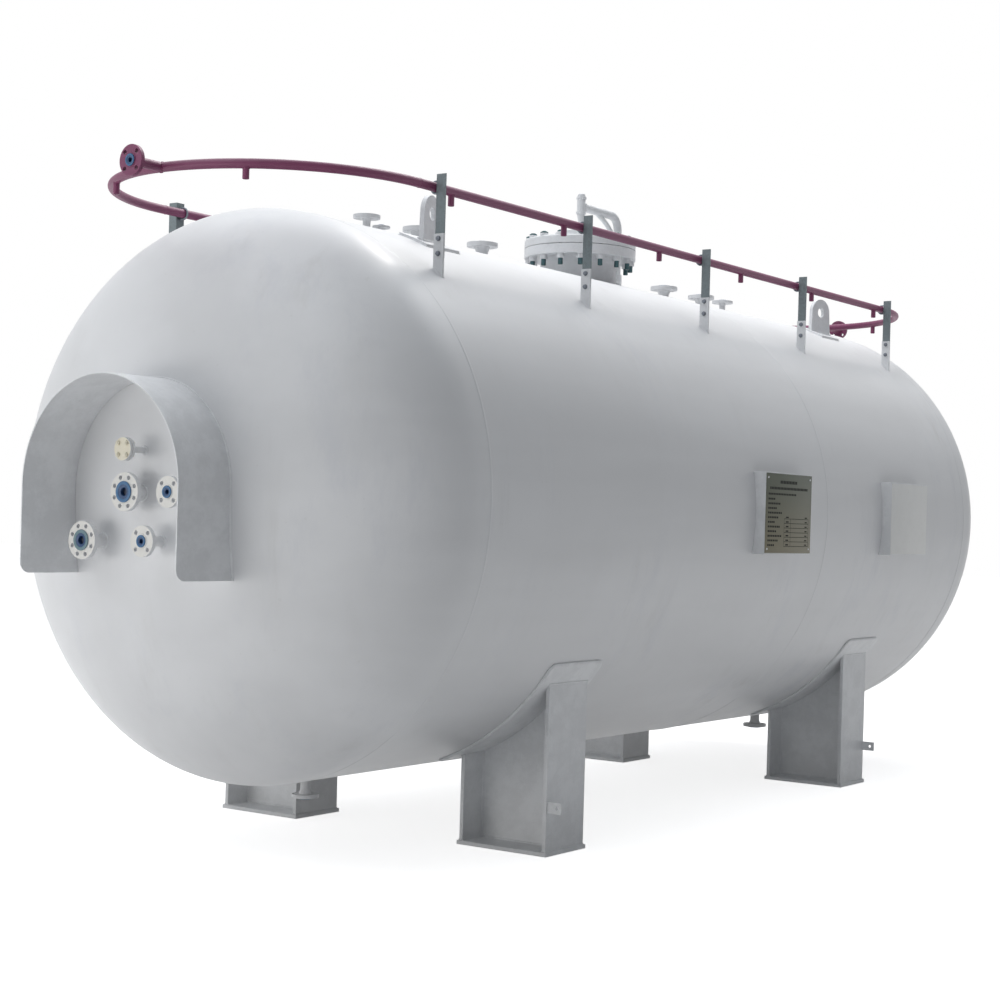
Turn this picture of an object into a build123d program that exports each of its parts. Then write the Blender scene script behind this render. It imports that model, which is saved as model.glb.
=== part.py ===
from build123d import *
from dataclasses import dataclass
import math
import os

# Horizontal pressure tank on four welded legs, with a valve hood on the near end,
# a manhole with a davit, and a spray ring held over the shell by posts.
# Millimetres. +X runs along the tank from the hooded near end to the far end,
# +Y is to the left when looking along +X, +Z is up and the ground is z = 0.
# The origin is on the ground under the middle of the overall length.

# Shell and ends
shell_r = 1300.0
wall = 18.0
ground_gap = 328.0
mid_x = 68.0
seam_half = 2626.0
course_joint = 595.0
head_skirt = 65.0
weld_gap = 0.3
length_match = 0.01

# Valve hood on the near head
hood_r = 468.0
hood_rise = 22.0
hood_drop = 356.0
hood_reach = 251.0
hood_t = 6.0
hood_corner = 50.0

# Nozzle layout: heights from the shell's axis, places along X from the near seam,
# the middle of the shell or the far seam, faces from the shell's surface
head_face_out = 104.0
head_centre_yz = (0.0, 0.0)
head_top_yz = (0.0, 179.0)
head_right_yz = (-255.0, 3.0)
head_low_left_yz = (252.0, -209.0)
head_low_right_yz = (-112.0, -204.0)
top_large_near = 1114.0
top_large_mid = (-967.0, 931.0)
top_large_far = 1230.0
top_medium_near = 702.0
top_medium_far = 948.0
top_small_near = 814.0
top_face = 95.0
top_small_face = 58.0
bottom_near = 370.0
bottom_far = 329.0
bottom_face = 107.0
set_through = 10.0
face_rise = 1.6
cap_t = 5.0
cap_taper = 1.0
overrun = 2.0

# Manhole
manhole_x = -22.0
neck_r = 210.0
neck_wall = 12.0
neck_top = 181.0
manhole_flange_r = 317.5
manhole_flange_t = 54.0
manhole_hub = 32.0
manhole_hub_r = 235.0
manhole_pcd = 578.0
manhole_bolts = 16
bolt_d = 27.0
bolt_clearance = 1.5
nut_af = 41.0
nut_h = 22.0
low_nut_h = 26.0
bolt_end = 4.0
low_bolt_end = 35.0
gasket_r = 266.0
gasket_t = 3.0
cover_t = 48.0
cover_bevel = 8.0
cover_pad_r = 145.0
cover_pad_t = 50.0

# Davit over the manhole
davit_reach = 399.0
davit_pipe_r = 24.15
davit_arm_z = 435.0
davit_bend_r = 80.0
davit_socket_r = 31.5
davit_socket_h = 95.0
davit_play = 0.4
davit_foot = 20.0
gusset_t = 12.0
gusset_half_w = 36.0
gusset_drop = 72.0
brace_r = 13.5
brace_start = 168.0
brace_drop = 185.0
brace_sag = 14.0
sleeve_r = 24.0
sleeve_low = 358.0
sleeve_high = 490.0
sleeve_lip = 12.0
sleeve_lip_r = 29.0
screw_r = 11.0
screw_cap_h = 20.0
screw_cap_inset = 2.0
screw_cone_h = 34.0
screw_nut_af = 46.0
screw_nut_h = 20.0

# Lifting lugs, each one turned towards the middle of the tank
lug_mid = 25.0
lug_half = 2075.0
lug_y = 488.0
lug_t = 25.0
lug_base_w = 195.0
lug_hole_r = 31.0
lug_eye_rise = 43.0
lug_top_r = 86.0
lug_pad_t = 12.0
lug_pad_x = 250.0
lug_pad_y = 164.0

# Legs
leg_mid = 28.0
leg_half = 1598.0
leg_side_in = 281.0
leg_width = 497.0
leg_plate_x = 323.0
leg_plate_t = 20.0
leg_web_t = 18.0
base_t = 20.0
base_lip = 9.0
wear_t = 12.0
wear_x = 437.0
wear_shift = -20.0
wear_past_inner = 86.0
wear_past_outer = 69.0
wear_corner = 40.0

# Earthing lugs on the right-hand legs
earth_near = -155.0
earth_far = 141.0
earth_t = 6.0
earth_out = 79.0
earth_h = 53.0
earth_z = 229.0
earth_hole_r = 8.0
earth_hole_edge = 27.0

# Plate brackets on the right-hand side
bracket_x = (-5.0, 1604.0)
bracket_w = 535.0
bracket_h = 430.0
bracket_rise = 7.0
bracket_out = 55.0
bracket_t = 3.0
plate_t = 2.0
plate_margin_x = 2.5
plate_margin_z = 6.5

# Posts that carry the spray ring: the end ones from the seams by the near face of
# their flat bar, the inner ones as shares of the way, heights from the crown of the shell
post_near = 203.0
post_far = 238.0
post_shares = (0.0, 0.2476, 0.4957, 0.742, 1.0)
post_inner = 801.0
bar_w = 54.0
bar_t = 10.0
bar_drop = 125.0
angle_w = 51.0
angle_t = 5.0
angle_rise = 139.0
angle_lap = 108.0
post_hole_r = 7.0
post_hole_drop = 22.0
post_hole_pitch = 66.0

# Spray ring: its height from the crown, the ends of its straight runs from the seams,
# the faces of its inlets from the poles of the ends
pipe_r = 21.2
pipe_wall = 3.6
ring_rise = 86.0
ring_near_in = 117.0
ring_far_in = 143.0
inlet_near_out = 119.5
inlet_far_out = 93.5
clip_r = 5.0
clip_nut_af = 17.0
clip_nut_h = 8.0
clip_tail = 14.0
spray_mid = 6.5
spray_pitch = 913.0
spray_count = 6
spray_r = 14.5
spray_bore = 9.5
spray_drop = 44.0
spray_turn = 30.0


@dataclass
class Flange:
    """Sizes of one weld-neck flange and its pipe."""

    od: float
    thick: float
    face_d: float
    pcd: float
    holes: int
    hole_d: float
    hub_d: float
    hub_h: float
    pipe_d: float
    bore_d: float
    cap_d: float


large = Flange(165.0, 22.4, 92.0, 127.0, 8, 19.0, 84.0, 34.0, 60.3, 52.5, 90.0)
medium = Flange(133.0, 19.0, 63.5, 98.6, 4, 19.0, 63.5, 30.0, 42.4, 35.0, 52.0)
top_medium = Flange(133.0, 17.5, 60.0, 95.0, 4, 19.0, 48.0, 16.0, 38.0, 30.0, 56.0)
low_near = Flange(127.0, 17.5, 73.0, 98.4, 4, 16.0, 64.0, 27.0, 48.3, 41.0, 66.0)
low_far = Flange(152.4, 19.0, 92.0, 120.7, 4, 19.0, 76.0, 28.0, 60.3, 52.5, 84.0)
small = Flange(98.6, 12.7, 43.0, 69.9, 4, 16.0, 38.0, 18.0, 26.7, 21.0, 43.0)
smallest = Flange(88.9, 11.2, 35.0, 60.3, 4, 16.0, 30.0, 16.0, 21.3, 15.8, 35.0)

# Values worked out from the ones above
axis_z = shell_r + ground_gap
crown = axis_z + shell_r
shell_foot = axis_z - shell_r
shell_in = shell_r - wall
head_depth_in = shell_in / 2
head_depth = head_depth_in + wall
near_seam = mid_x - seam_half
far_seam = mid_x + seam_half
near_tangent = near_seam - head_skirt
far_tangent = far_seam + head_skirt
near_pole = near_tangent - head_depth
far_pole = far_tangent + head_depth
head_face_x = near_pole - head_face_out
manhole_cx = mid_x + manhole_x
flange_top = crown + neck_top
cover_base = flange_top + gasket_t
cover_top = cover_base + cover_t
pad_top = cover_top + cover_pad_t
davit_x = manhole_cx + davit_reach
first_post = near_seam + post_near
last_post = far_seam - post_far
bar_top = crown - bar_drop
ring_half = post_inner - pipe_r - weld_gap
ring_height = crown + ring_rise
ring_near_x = near_seam + ring_near_in
ring_far_x = far_seam - ring_far_in
clip_bend_r = pipe_r + clip_r + weld_gap
clip_offset = bar_t + angle_w / 2
wear_r = shell_r + wear_t
lug_pad_r = shell_r + lug_pad_t
bracket_front = shell_r + bracket_out
leg_outer_y = shell_r - leg_side_in
leg_inner_y = leg_outer_y - leg_width
bottom_nozzles = ((low_near, near_seam + bottom_near), (low_far, far_seam - bottom_far))
sides = (("left", 1), ("right", -1))


def box(x0, x1, y0, y1, z0, z1):
    """A block between two opposite corners, given in any order."""
    centre = Pos((x0 + x1) / 2, (y0 + y1) / 2, (z0 + z1) / 2)
    return centre * Box(abs(x1 - x0), abs(y1 - y0), abs(z1 - z0))


def bar_along_x(radius, x0, x1, y=0.0, z=axis_z):
    return Pos((x0 + x1) / 2, y, z) * Rot(0, 90, 0) * Cylinder(radius, abs(x1 - x0))


def bar_along_y(radius, y0, y1, x, z):
    return Pos(x, (y0 + y1) / 2, z) * Rot(90, 0, 0) * Cylinder(radius, abs(y1 - y0))


def bar_along_z(radius, z0, z1, x, y=0.0):
    return Pos(x, y, (z0 + z1) / 2) * Cylinder(radius, abs(z1 - z0))


def shell_body(radius):
    """A solid the length of the whole shell, for trimming what is welded to it."""
    return bar_along_x(radius, near_tangent, far_tangent)


def turned(points):
    """A body of revolution about Z from (radius, height) corners."""
    outline = [(r, 0, z) for r, z in points]
    return revolve(make_face(Polyline(*outline, close=True)), Axis.Z)


def bolt_circle(pcd, count, hole_r, depth, bottom):
    """Cutters for a ring of bolt holes that straddle the centre lines."""
    first = 180.0 / count
    holes = []
    for i in range(count):
        turn = math.radians(first + i * 360.0 / count)
        x, y = pcd / 2 * math.cos(turn), pcd / 2 * math.sin(turn)
        holes.append(bar_along_z(hole_r, bottom, bottom + depth, x, y))
    return holes


def flanged_pipe(f, length):
    """A weld-neck flange with its face at z = 0 and its pipe running down to -length."""
    back = -face_rise - f.thick
    body = turned([
        (f.bore_d / 2, 0),
        (f.face_d / 2, 0),
        (f.face_d / 2, -face_rise),
        (f.od / 2, -face_rise),
        (f.od / 2, back),
        (f.hub_d / 2, back),
        (f.pipe_d / 2, back - f.hub_h),
        (f.pipe_d / 2, -length),
        (f.bore_d / 2, -length),
    ])
    return body - bolt_circle(f.pcd, f.holes, f.hole_d / 2, f.thick + 2 * overrun, back - overrun)


def face_cap(f):
    """The thin plastic cap that closes the bore of a flange during transport."""
    return turned([(0, 0), (f.cap_d / 2, 0), (f.cap_d / 2 - cap_taper, cap_t), (0, cap_t)])


def up_at(x, y, z):
    return Pos(x, y, z)


def down_at(x, y, z):
    return Pos(x, y, z) * Rot(180, 0, 0)


def near_at(x, y, z):
    """Faces -X."""
    return Pos(x, y, z) * Rot(0, -90, 0)


def far_at(x, y, z):
    """Faces +X."""
    return Pos(x, y, z) * Rot(0, 90, 0)


def head_surface(r, depth, radius):
    """Distance of an ellipsoidal end's surface beyond its tangent line, at radius r."""
    return depth * math.sqrt(1 - (r / radius) ** 2)


def end_solid(depth, radius, skirt):
    """A filled elliptical end with its skirt, bulging towards -X, its tangent line at x = 0."""
    corners = ((-depth, 0), (-depth, radius), (0, radius))
    dome = Bezier(*corners, weights=(1, math.sqrt(0.5), 1))
    axis = Line((-depth, 0), (skirt, 0))
    rim = Line((skirt, 0), (skirt, radius))
    edge = Line((skirt, radius), (0, radius))
    return revolve(make_face([dome, axis, rim, edge]), Axis.X)


def ellipsoidal_head():
    """A hollow 2:1 end, open towards +X."""
    outer = end_solid(head_depth, shell_r, head_skirt)
    return outer - end_solid(head_depth_in, shell_in, head_skirt)


# Each nozzle on the near head, with its flange size and its place
head_nozzles = {
    "head_nozzle_top": (small, head_top_yz),
    "head_nozzle_centre": (large, head_centre_yz),
    "head_nozzle_right": (medium, head_right_yz),
    "head_nozzle_low_left": (large, head_low_left_yz),
    "head_nozzle_low_right": (medium, head_low_right_yz),
}
blanked_nozzle = "head_nozzle_top"
top_nozzles = [
    (large, near_seam + top_large_near, top_face),
    (large, mid_x + top_large_mid[0], top_face),
    (large, mid_x + top_large_mid[1], top_face),
    (large, far_seam - top_large_far, top_face),
    (top_medium, near_seam + top_medium_near, top_face),
    (top_medium, far_seam - top_medium_far, top_face),
    (smallest, near_seam + top_small_near, top_small_face),
]


def near_head():
    head = Pos(near_tangent, 0, axis_z) * ellipsoidal_head()
    holes = []
    for f, (y, z) in head_nozzles.values():
        holes.append(bar_along_x(f.pipe_d / 2 + weld_gap, head_face_x, near_tangent, y, axis_z + z))
    return head - holes


def far_head():
    return Pos(far_tangent, 0, axis_z) * Rot(0, 0, 180) * ellipsoidal_head()


def shell_course(x0, x1):
    """One rolled course, with a hole for each nozzle that stands in it."""
    course = bar_along_x(shell_r, x0, x1) - bar_along_x(shell_in, x0, x1)
    holes = [(x, f.pipe_d / 2, axis_z, flange_top) for f, x, _ in top_nozzles]
    holes.append((manhole_cx, neck_r, axis_z, flange_top))
    holes += [(x, f.pipe_d / 2, 0, axis_z) for f, x in bottom_nozzles]
    cuts = [bar_along_z(r + weld_gap, z0, z1, x) for x, r, z0, z1 in holes if x0 < x < x1]
    return course - cuts


def valve_hood():
    """An arched plate round the head nozzles, open below and in front."""
    front = near_pole - hood_reach
    back = near_tangent - head_depth / 2
    centre_z = axis_z + hood_rise
    foot_z = axis_z - hood_drop

    def arch(radius):
        tunnel = bar_along_x(radius, front, back, 0, centre_z)
        return tunnel + box(front, back, -radius, radius, foot_z, centre_z)

    below = box(front, back, -hood_r, hood_r, foot_z - hood_r, foot_z)
    plate = arch(hood_r) - arch(hood_r - hood_t) - below
    corner = box(front, front + hood_corner, -hood_r, hood_r, foot_z, foot_z + hood_corner)
    corner -= bar_along_y(hood_corner, -hood_r, hood_r, front + hood_corner, foot_z + hood_corner)
    end = end_solid(head_depth + weld_gap, shell_r + weld_gap, head_skirt)
    return plate - corner - Pos(near_tangent, 0, axis_z) * end


def head_nozzle(name):
    f, (y, z) = head_nozzles[name]
    radius = math.hypot(y, z)
    inside = near_tangent - head_surface(radius, head_depth_in, shell_in) + set_through
    return near_at(head_face_x, y, axis_z + z) * flanged_pipe(f, inside - head_face_x)


def blind_flange():
    """The plain disc that closes the small upper nozzle."""
    f, (y, z) = head_nozzles[blanked_nozzle]
    disc = turned([
        (0, 0),
        (f.face_d / 2, 0),
        (f.face_d / 2, face_rise),
        (f.od / 2, face_rise),
        (f.od / 2, face_rise + f.thick),
        (0, face_rise + f.thick),
    ])
    disc -= bolt_circle(f.pcd, f.holes, f.hole_d / 2, f.thick + 2 * overrun, face_rise - overrun)
    return near_at(head_face_x, y, axis_z + z) * disc


def face_caps():
    caps = []
    for name, (f, (y, z)) in head_nozzles.items():
        if name != blanked_nozzle:
            caps.append(near_at(head_face_x, y, axis_z + z) * face_cap(f))
    for f, x, rise in top_nozzles:
        caps.append(up_at(x, 0, crown + rise) * face_cap(f))
    for f, x in bottom_nozzles:
        caps.append(down_at(x, 0, shell_foot - bottom_face) * face_cap(f))
    caps.append(near_at(inlet_face(-1), 0, ring_height) * face_cap(medium))
    caps.append(far_at(inlet_face(1), 0, ring_height) * face_cap(medium))
    return caps


def top_nozzle(f, x, rise):
    length = rise + wall + set_through
    return up_at(x, 0, crown + rise) * flanged_pipe(f, length)


def bottom_nozzle(f, x):
    length = bottom_face + wall + set_through
    return down_at(x, 0, shell_foot - bottom_face) * flanged_pipe(f, length)


def manhole_holes(z0, depth):
    cuts = bolt_circle(manhole_pcd, manhole_bolts, bolt_d / 2 + bolt_clearance, depth, z0)
    return [Pos(manhole_cx, 0, 0) * cut for cut in cuts]


def manhole_neck():
    back = flange_top - manhole_flange_t
    foot = axis_z + math.sqrt(shell_in ** 2 - neck_r ** 2) - set_through
    bore = neck_r - neck_wall
    body = turned([
        (bore, foot),
        (neck_r, foot),
        (neck_r, back - manhole_hub),
        (manhole_hub_r, back),
        (manhole_flange_r, back),
        (manhole_flange_r, flange_top),
        (bore, flange_top),
    ])
    return Pos(manhole_cx, 0, 0) * body - manhole_holes(back - overrun, manhole_flange_t + 2 * overrun)


def manhole_gasket():
    ring = turned([
        (neck_r - neck_wall, flange_top),
        (gasket_r, flange_top),
        (gasket_r, cover_base),
        (neck_r - neck_wall, cover_base),
    ])
    return Pos(manhole_cx, 0, 0) * ring


def manhole_cover():
    body = turned([
        (0, cover_base),
        (manhole_flange_r, cover_base),
        (manhole_flange_r, cover_top - cover_bevel),
        (manhole_flange_r - cover_bevel, cover_top),
        (cover_pad_r, cover_top),
        (cover_pad_r, pad_top),
        (0, pad_top),
    ])
    return Pos(manhole_cx, 0, 0) * body - manhole_holes(cover_base - overrun, cover_t + 2 * overrun)


def hex_prism(af, height):
    return extrude(RegularPolygon(af / math.sqrt(3), 6), height)


def manhole_studs():
    """Stud bolts through the flange pair, each with a nut at both ends."""
    low_z = flange_top - manhole_flange_t - low_nut_h
    rod = bar_along_z(bolt_d / 2, low_z - low_bolt_end, cover_top + nut_h + bolt_end, 0)
    low_nut = Pos(0, 0, low_z) * hex_prism(nut_af, low_nut_h)
    stud = rod + low_nut + Pos(0, 0, cover_top) * hex_prism(nut_af, nut_h)
    studs = []
    for i in range(manhole_bolts):
        turn = (i + 0.5) * 360.0 / manhole_bolts
        studs.append(Pos(manhole_cx, 0, 0) * Rot(0, 0, turn) * Pos(manhole_pcd / 2, 0, 0) * stud)
    return studs


def davit_socket():
    """A short tube that stands on the shell and is tied to the manhole neck."""
    top = crown + davit_socket_h
    tube = bar_along_z(davit_socket_r, crown - wall, top, davit_x)
    tie_z = flange_top - manhole_flange_t - gusset_drop
    tie = box(manhole_cx, davit_x, -gusset_half_w, gusset_half_w, tie_z - gusset_t, tie_z)
    tie -= bar_along_z(neck_r + weld_gap, tie_z - 2 * gusset_t, tie_z + gusset_t, manhole_cx)
    socket = tube + tie - shell_body(shell_r + weld_gap)
    return socket - bar_along_z(davit_pipe_r + davit_play, crown + davit_foot, top + overrun, davit_x)


def davit_arm():
    """A bent pipe from the socket to the sleeve over the cover, with its brace."""
    arm_z = crown + davit_arm_z
    foot = crown + davit_foot
    path = FilletPolyline(
        (davit_x, 0, foot),
        (davit_x, 0, arm_z),
        (manhole_cx, 0, arm_z),
        radius=davit_bend_r,
    )
    pipe = sweep(Plane((davit_x, 0, foot)) * Circle(davit_pipe_r), path)
    start = Vector(manhole_cx + brace_start, 0, arm_z)
    end = Vector(davit_x, 0, arm_z - brace_drop)
    middle = (start + end) / 2 + Vector(brace_sag, 0, brace_sag)
    curve = ThreePointArc(start, middle, end)
    strut = sweep(Plane(start, z_dir=curve % 0) * Circle(brace_r), curve)
    z0 = crown + sleeve_low
    z1 = crown + sleeve_high
    sleeve = turned([
        (screw_r + davit_play, z0),
        (sleeve_lip_r, z0),
        (sleeve_lip_r, z0 + sleeve_lip),
        (sleeve_r, z0 + sleeve_lip),
        (sleeve_r, z1 - sleeve_lip),
        (sleeve_lip_r, z1 - sleeve_lip),
        (sleeve_lip_r, z1),
        (screw_r + davit_play, z1),
    ])
    bore = bar_along_z(screw_r + davit_play, z0 - overrun, z1 + overrun, manhole_cx)
    return pipe + strut + Pos(manhole_cx, 0, 0) * sleeve - bore


def davit_screw():
    """The lifting screw through the sleeve, from its cap nut to the pad of the cover."""
    z0 = crown + sleeve_low
    z1 = crown + sleeve_high
    dome = sleeve_r - screw_cap_inset
    body = turned([
        (0, pad_top),
        (screw_r, pad_top),
        (screw_r, z0 - screw_cone_h),
        (sleeve_r, z0),
        (screw_r, z0),
        (screw_r, z1),
        (dome, z1),
        (dome, z1 + screw_cap_h / 2),
        (dome / 2, z1 + screw_cap_h),
        (0, z1 + screw_cap_h),
    ])
    nut = Pos(manhole_cx, 0, pad_top) * hex_prism(screw_nut_af, screw_nut_h)
    return Pos(manhole_cx, 0, 0) * body + nut


def lug_places():
    """Each lug's place and its turn towards the middle of the tank."""
    places = []
    for end in (-1, 1):
        for _, side in sides:
            turn = math.degrees(math.atan2(-side * lug_y, -end * lug_half))
            places.append((mid_x + lug_mid + end * lug_half, side * lug_y, turn))
    return places


def lifting_lug(x, y, turn):
    """A tapered plate with a round top and one eye, standing on its pad."""
    half_base = lug_base_w / 2
    foot = axis_z + math.sqrt(shell_r ** 2 - (lug_y + half_base) ** 2)
    eye_z = crown + lug_eye_rise
    lean = math.degrees(math.atan2(half_base - lug_top_r, eye_z - foot))
    reach = lug_top_r * math.cos(math.radians(lean))
    rise = lug_top_r * math.sin(math.radians(lean))
    outline = Polyline(
        (-reach, 0, eye_z + rise),
        (-half_base, 0, foot),
        (half_base, 0, foot),
        (reach, 0, eye_z + rise),
    )
    round_top = ThreePointArc(
        (reach, 0, eye_z + rise),
        (0, 0, eye_z + lug_top_r),
        (-reach, 0, eye_z + rise),
    )
    plate = extrude(make_face([outline, round_top]), lug_t / 2, both=True)
    plate -= bar_along_y(lug_hole_r, -lug_t, lug_t, 0, eye_z)
    return Pos(x, y, 0) * Rot(0, 0, turn) * plate - shell_body(lug_pad_r)


def lug_pad(x, y):
    ring = shell_body(lug_pad_r) - shell_body(shell_r)
    z0 = axis_z + shell_r / 2
    half_x = lug_pad_x / 2
    half_y = lug_pad_y / 2
    return ring & box(x - half_x, x + half_x, y - half_y, y + half_y, z0, z0 + shell_r)


def leg_places():
    return [(mid_x + leg_mid + end * leg_half, side) for end in (-1, 1) for _, side in sides]


def base_plate(x, side):
    half_x = leg_plate_x / 2 + base_lip
    y0 = side * (leg_inner_y - base_lip)
    y1 = side * (leg_outer_y + base_lip)
    return box(x - half_x, x + half_x, y0, y1, 0, base_t)


def leg_plate(x, side, y):
    """One of the two plates that run along the tank, from its inner face at y."""
    half_x = leg_plate_x / 2
    plate = box(x - half_x, x + half_x, side * y, side * (y + leg_plate_t), base_t, axis_z)
    return plate - shell_body(wear_r)


def leg_web(x, side):
    half_t = leg_web_t / 2
    y0 = side * (leg_inner_y + leg_plate_t)
    y1 = side * (leg_outer_y - leg_plate_t)
    return box(x - half_t, x + half_t, y0, y1, base_t, axis_z) - shell_body(wear_r)


def wear_plate(x, side):
    """A curved plate between the shell and a leg, with rounded corners."""
    x0 = x + wear_shift - wear_x / 2
    arc_low = math.asin((leg_inner_y - wear_past_inner) / wear_r)
    arc_high = math.asin((leg_outer_y + wear_past_outer) / wear_r)
    reach = 2 * wear_r
    wedge = make_face(Polyline(
        (x0, 0, axis_z),
        (x0, side * reach * math.sin(arc_low), axis_z - reach * math.cos(arc_low)),
        (x0, side * reach * math.sin(arc_high), axis_z - reach * math.cos(arc_high)),
        close=True,
    ))
    sector = extrude(wedge, wear_x, dir=(1, 0, 0))
    plate = (shell_body(wear_r) - shell_body(shell_r)) & sector
    short_edges = plate.edges().filter_by(lambda edge: abs(edge.length - wear_t) < length_match)
    return fillet(short_edges, wear_corner)


def earthing_lug(end):
    offset = earth_near if end < 0 else earth_far
    x = mid_x + leg_mid + end * leg_half + offset
    z0 = earth_z - earth_h / 2
    tip = -leg_outer_y - earth_out
    plate = box(x, x + earth_t, -leg_outer_y, tip, z0, z0 + earth_h)
    hole_y = tip + earth_hole_edge
    return plate - bar_along_x(earth_hole_r, x - overrun, x + earth_t + overrun, hole_y, earth_z)


def plate_bracket(x):
    """A folded channel that stands off the shell and carries one plate."""
    z = axis_z + bracket_rise
    half_w = bracket_w / 2
    half_h = bracket_h / 2
    outer = box(x - half_w, x + half_w, -bracket_front, 0, z - half_h, z + half_h)
    inner_w = half_w - bracket_t
    inner_h = half_h + overrun
    inner = box(x - inner_w, x + inner_w, bracket_t - bracket_front, 0, z - inner_h, z + inner_h)
    return outer - inner - shell_body(shell_r + weld_gap)


def front_plate(x):
    z = axis_z + bracket_rise
    half_w = bracket_w / 2 - plate_margin_x
    half_h = bracket_h / 2 - plate_margin_z
    return box(x - half_w, x + half_w, -bracket_front - plate_t, -bracket_front, z - half_h, z + half_h)


def post_places():
    way = last_post - first_post
    return [(first_post + share * way, side) for _, side in sides for share in post_shares]


def post_holes(x, side):
    y = side * (post_inner + bar_w / 2)
    x0 = x - overrun
    x1 = x + bar_t + angle_t + overrun
    first = bar_top - post_hole_drop
    return [bar_along_x(post_hole_r, x0, x1, y, z) for z in (first, first - post_hole_pitch)]


def post_bar(x, side):
    bar = box(x, x + bar_t, side * post_inner, side * (post_inner + bar_w), axis_z, bar_top)
    return bar - shell_body(shell_r + weld_gap) - post_holes(x, side)


def post_angle(x, side):
    """A steel angle bolted behind the bar; its second leg carries the pipe clip."""
    x0 = x + bar_t
    z0 = bar_top - angle_lap
    z1 = crown + angle_rise
    cross = box(x0, x0 + angle_t, side * post_inner, side * (post_inner + angle_w), z0, z1)
    along = box(x0, x0 + angle_w, side * post_inner, side * (post_inner + angle_t), z0, z1)
    clip_x = x + clip_offset
    y0 = side * (post_inner - overrun)
    y1 = side * (post_inner + angle_t + overrun)
    cuts = post_holes(x, side)
    for z in (ring_height - clip_bend_r, ring_height + clip_bend_r):
        cuts.append(bar_along_y(clip_r + weld_gap, y0, y1, clip_x, z))
    return cross + along - cuts


def ring_clip(x, side):
    """A U-bolt round the ring pipe, with its two nuts behind the angle."""
    clip_x = x + clip_offset
    low_z = ring_height - clip_bend_r
    high_z = ring_height + clip_bend_r
    end_y = side * (post_inner + angle_t + clip_nut_h + clip_tail)
    mid_y = side * ring_half
    low_leg = Line((clip_x, end_y, low_z), (clip_x, mid_y, low_z))
    bend = ThreePointArc(
        (clip_x, mid_y, low_z),
        (clip_x, mid_y - side * clip_bend_r, ring_height),
        (clip_x, mid_y, high_z),
    )
    high_leg = Line((clip_x, mid_y, high_z), (clip_x, end_y, high_z))
    start = Plane((clip_x, end_y, low_z), z_dir=(0, -side, 0))
    clip = sweep(start * Circle(clip_r), Wire([low_leg, bend, high_leg]))
    for z in (low_z, high_z):
        nut = Rot(90 if side < 0 else -90, 0, 0) * hex_prism(clip_nut_af, clip_nut_h)
        clip += Pos(clip_x, side * (post_inner + angle_t), z) * nut
    return clip


def ring_run(side):
    y = side * ring_half
    outer = bar_along_x(pipe_r, ring_near_x, ring_far_x, y, ring_height)
    return outer - bar_along_x(pipe_r - pipe_wall, ring_near_x, ring_far_x, y, ring_height)


def ring_bend(end, side):
    """A quarter of the rounded end of the ring."""
    centre_x = ring_near_x if end < 0 else ring_far_x
    start = Plane((centre_x, side * ring_half, ring_height), z_dir=(end, 0, 0))
    section = start * (Circle(pipe_r) - Circle(pipe_r - pipe_wall))
    turn = Axis((centre_x, 0, ring_height), (0, 0, -end * side))
    return revolve(section, turn, 90)


def inlet_face(end):
    """X of the ring inlet's flange face at one end."""
    return near_pole - inlet_near_out if end < 0 else far_pole + inlet_far_out


def ring_inlet_pipe(end):
    place = near_at if end < 0 else far_at
    centre_x = ring_near_x if end < 0 else ring_far_x
    length = abs(inlet_face(end) - centre_x) - ring_half
    pipe = place(inlet_face(end), 0, ring_height) * flanged_pipe(medium, length)
    return pipe - Pos(centre_x, 0, ring_height) * Torus(ring_half, pipe_r + weld_gap)


def spray_places():
    """Each nozzle on the straight runs and on the rounded ends."""
    places = []
    for i in range(spray_count):
        x = mid_x + spray_mid + (i - (spray_count - 1) / 2) * spray_pitch
        places += [(x, ring_half), (x, -ring_half)]
    turn = math.radians(spray_turn)
    for end, centre_x in ((-1, ring_near_x), (1, ring_far_x)):
        for _, side in sides:
            x = centre_x + end * ring_half * math.cos(turn)
            places.append((x, side * ring_half * math.sin(turn)))
    return places


def spray_nozzle(x, y):
    z0 = ring_height - pipe_r - spray_drop
    body = bar_along_z(spray_r, z0, ring_height, x, y)
    straight = ring_near_x <= x <= ring_far_x
    if straight:
        pipe = bar_along_x(pipe_r + weld_gap, x - 2 * pipe_r, x + 2 * pipe_r, y, ring_height)
    else:
        centre_x = ring_near_x if x < ring_near_x else ring_far_x
        pipe = Pos(centre_x, 0, ring_height) * Torus(ring_half, pipe_r + weld_gap)
    return body - pipe - bar_along_z(spray_bore, z0 - overrun, ring_height, x, y)


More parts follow.
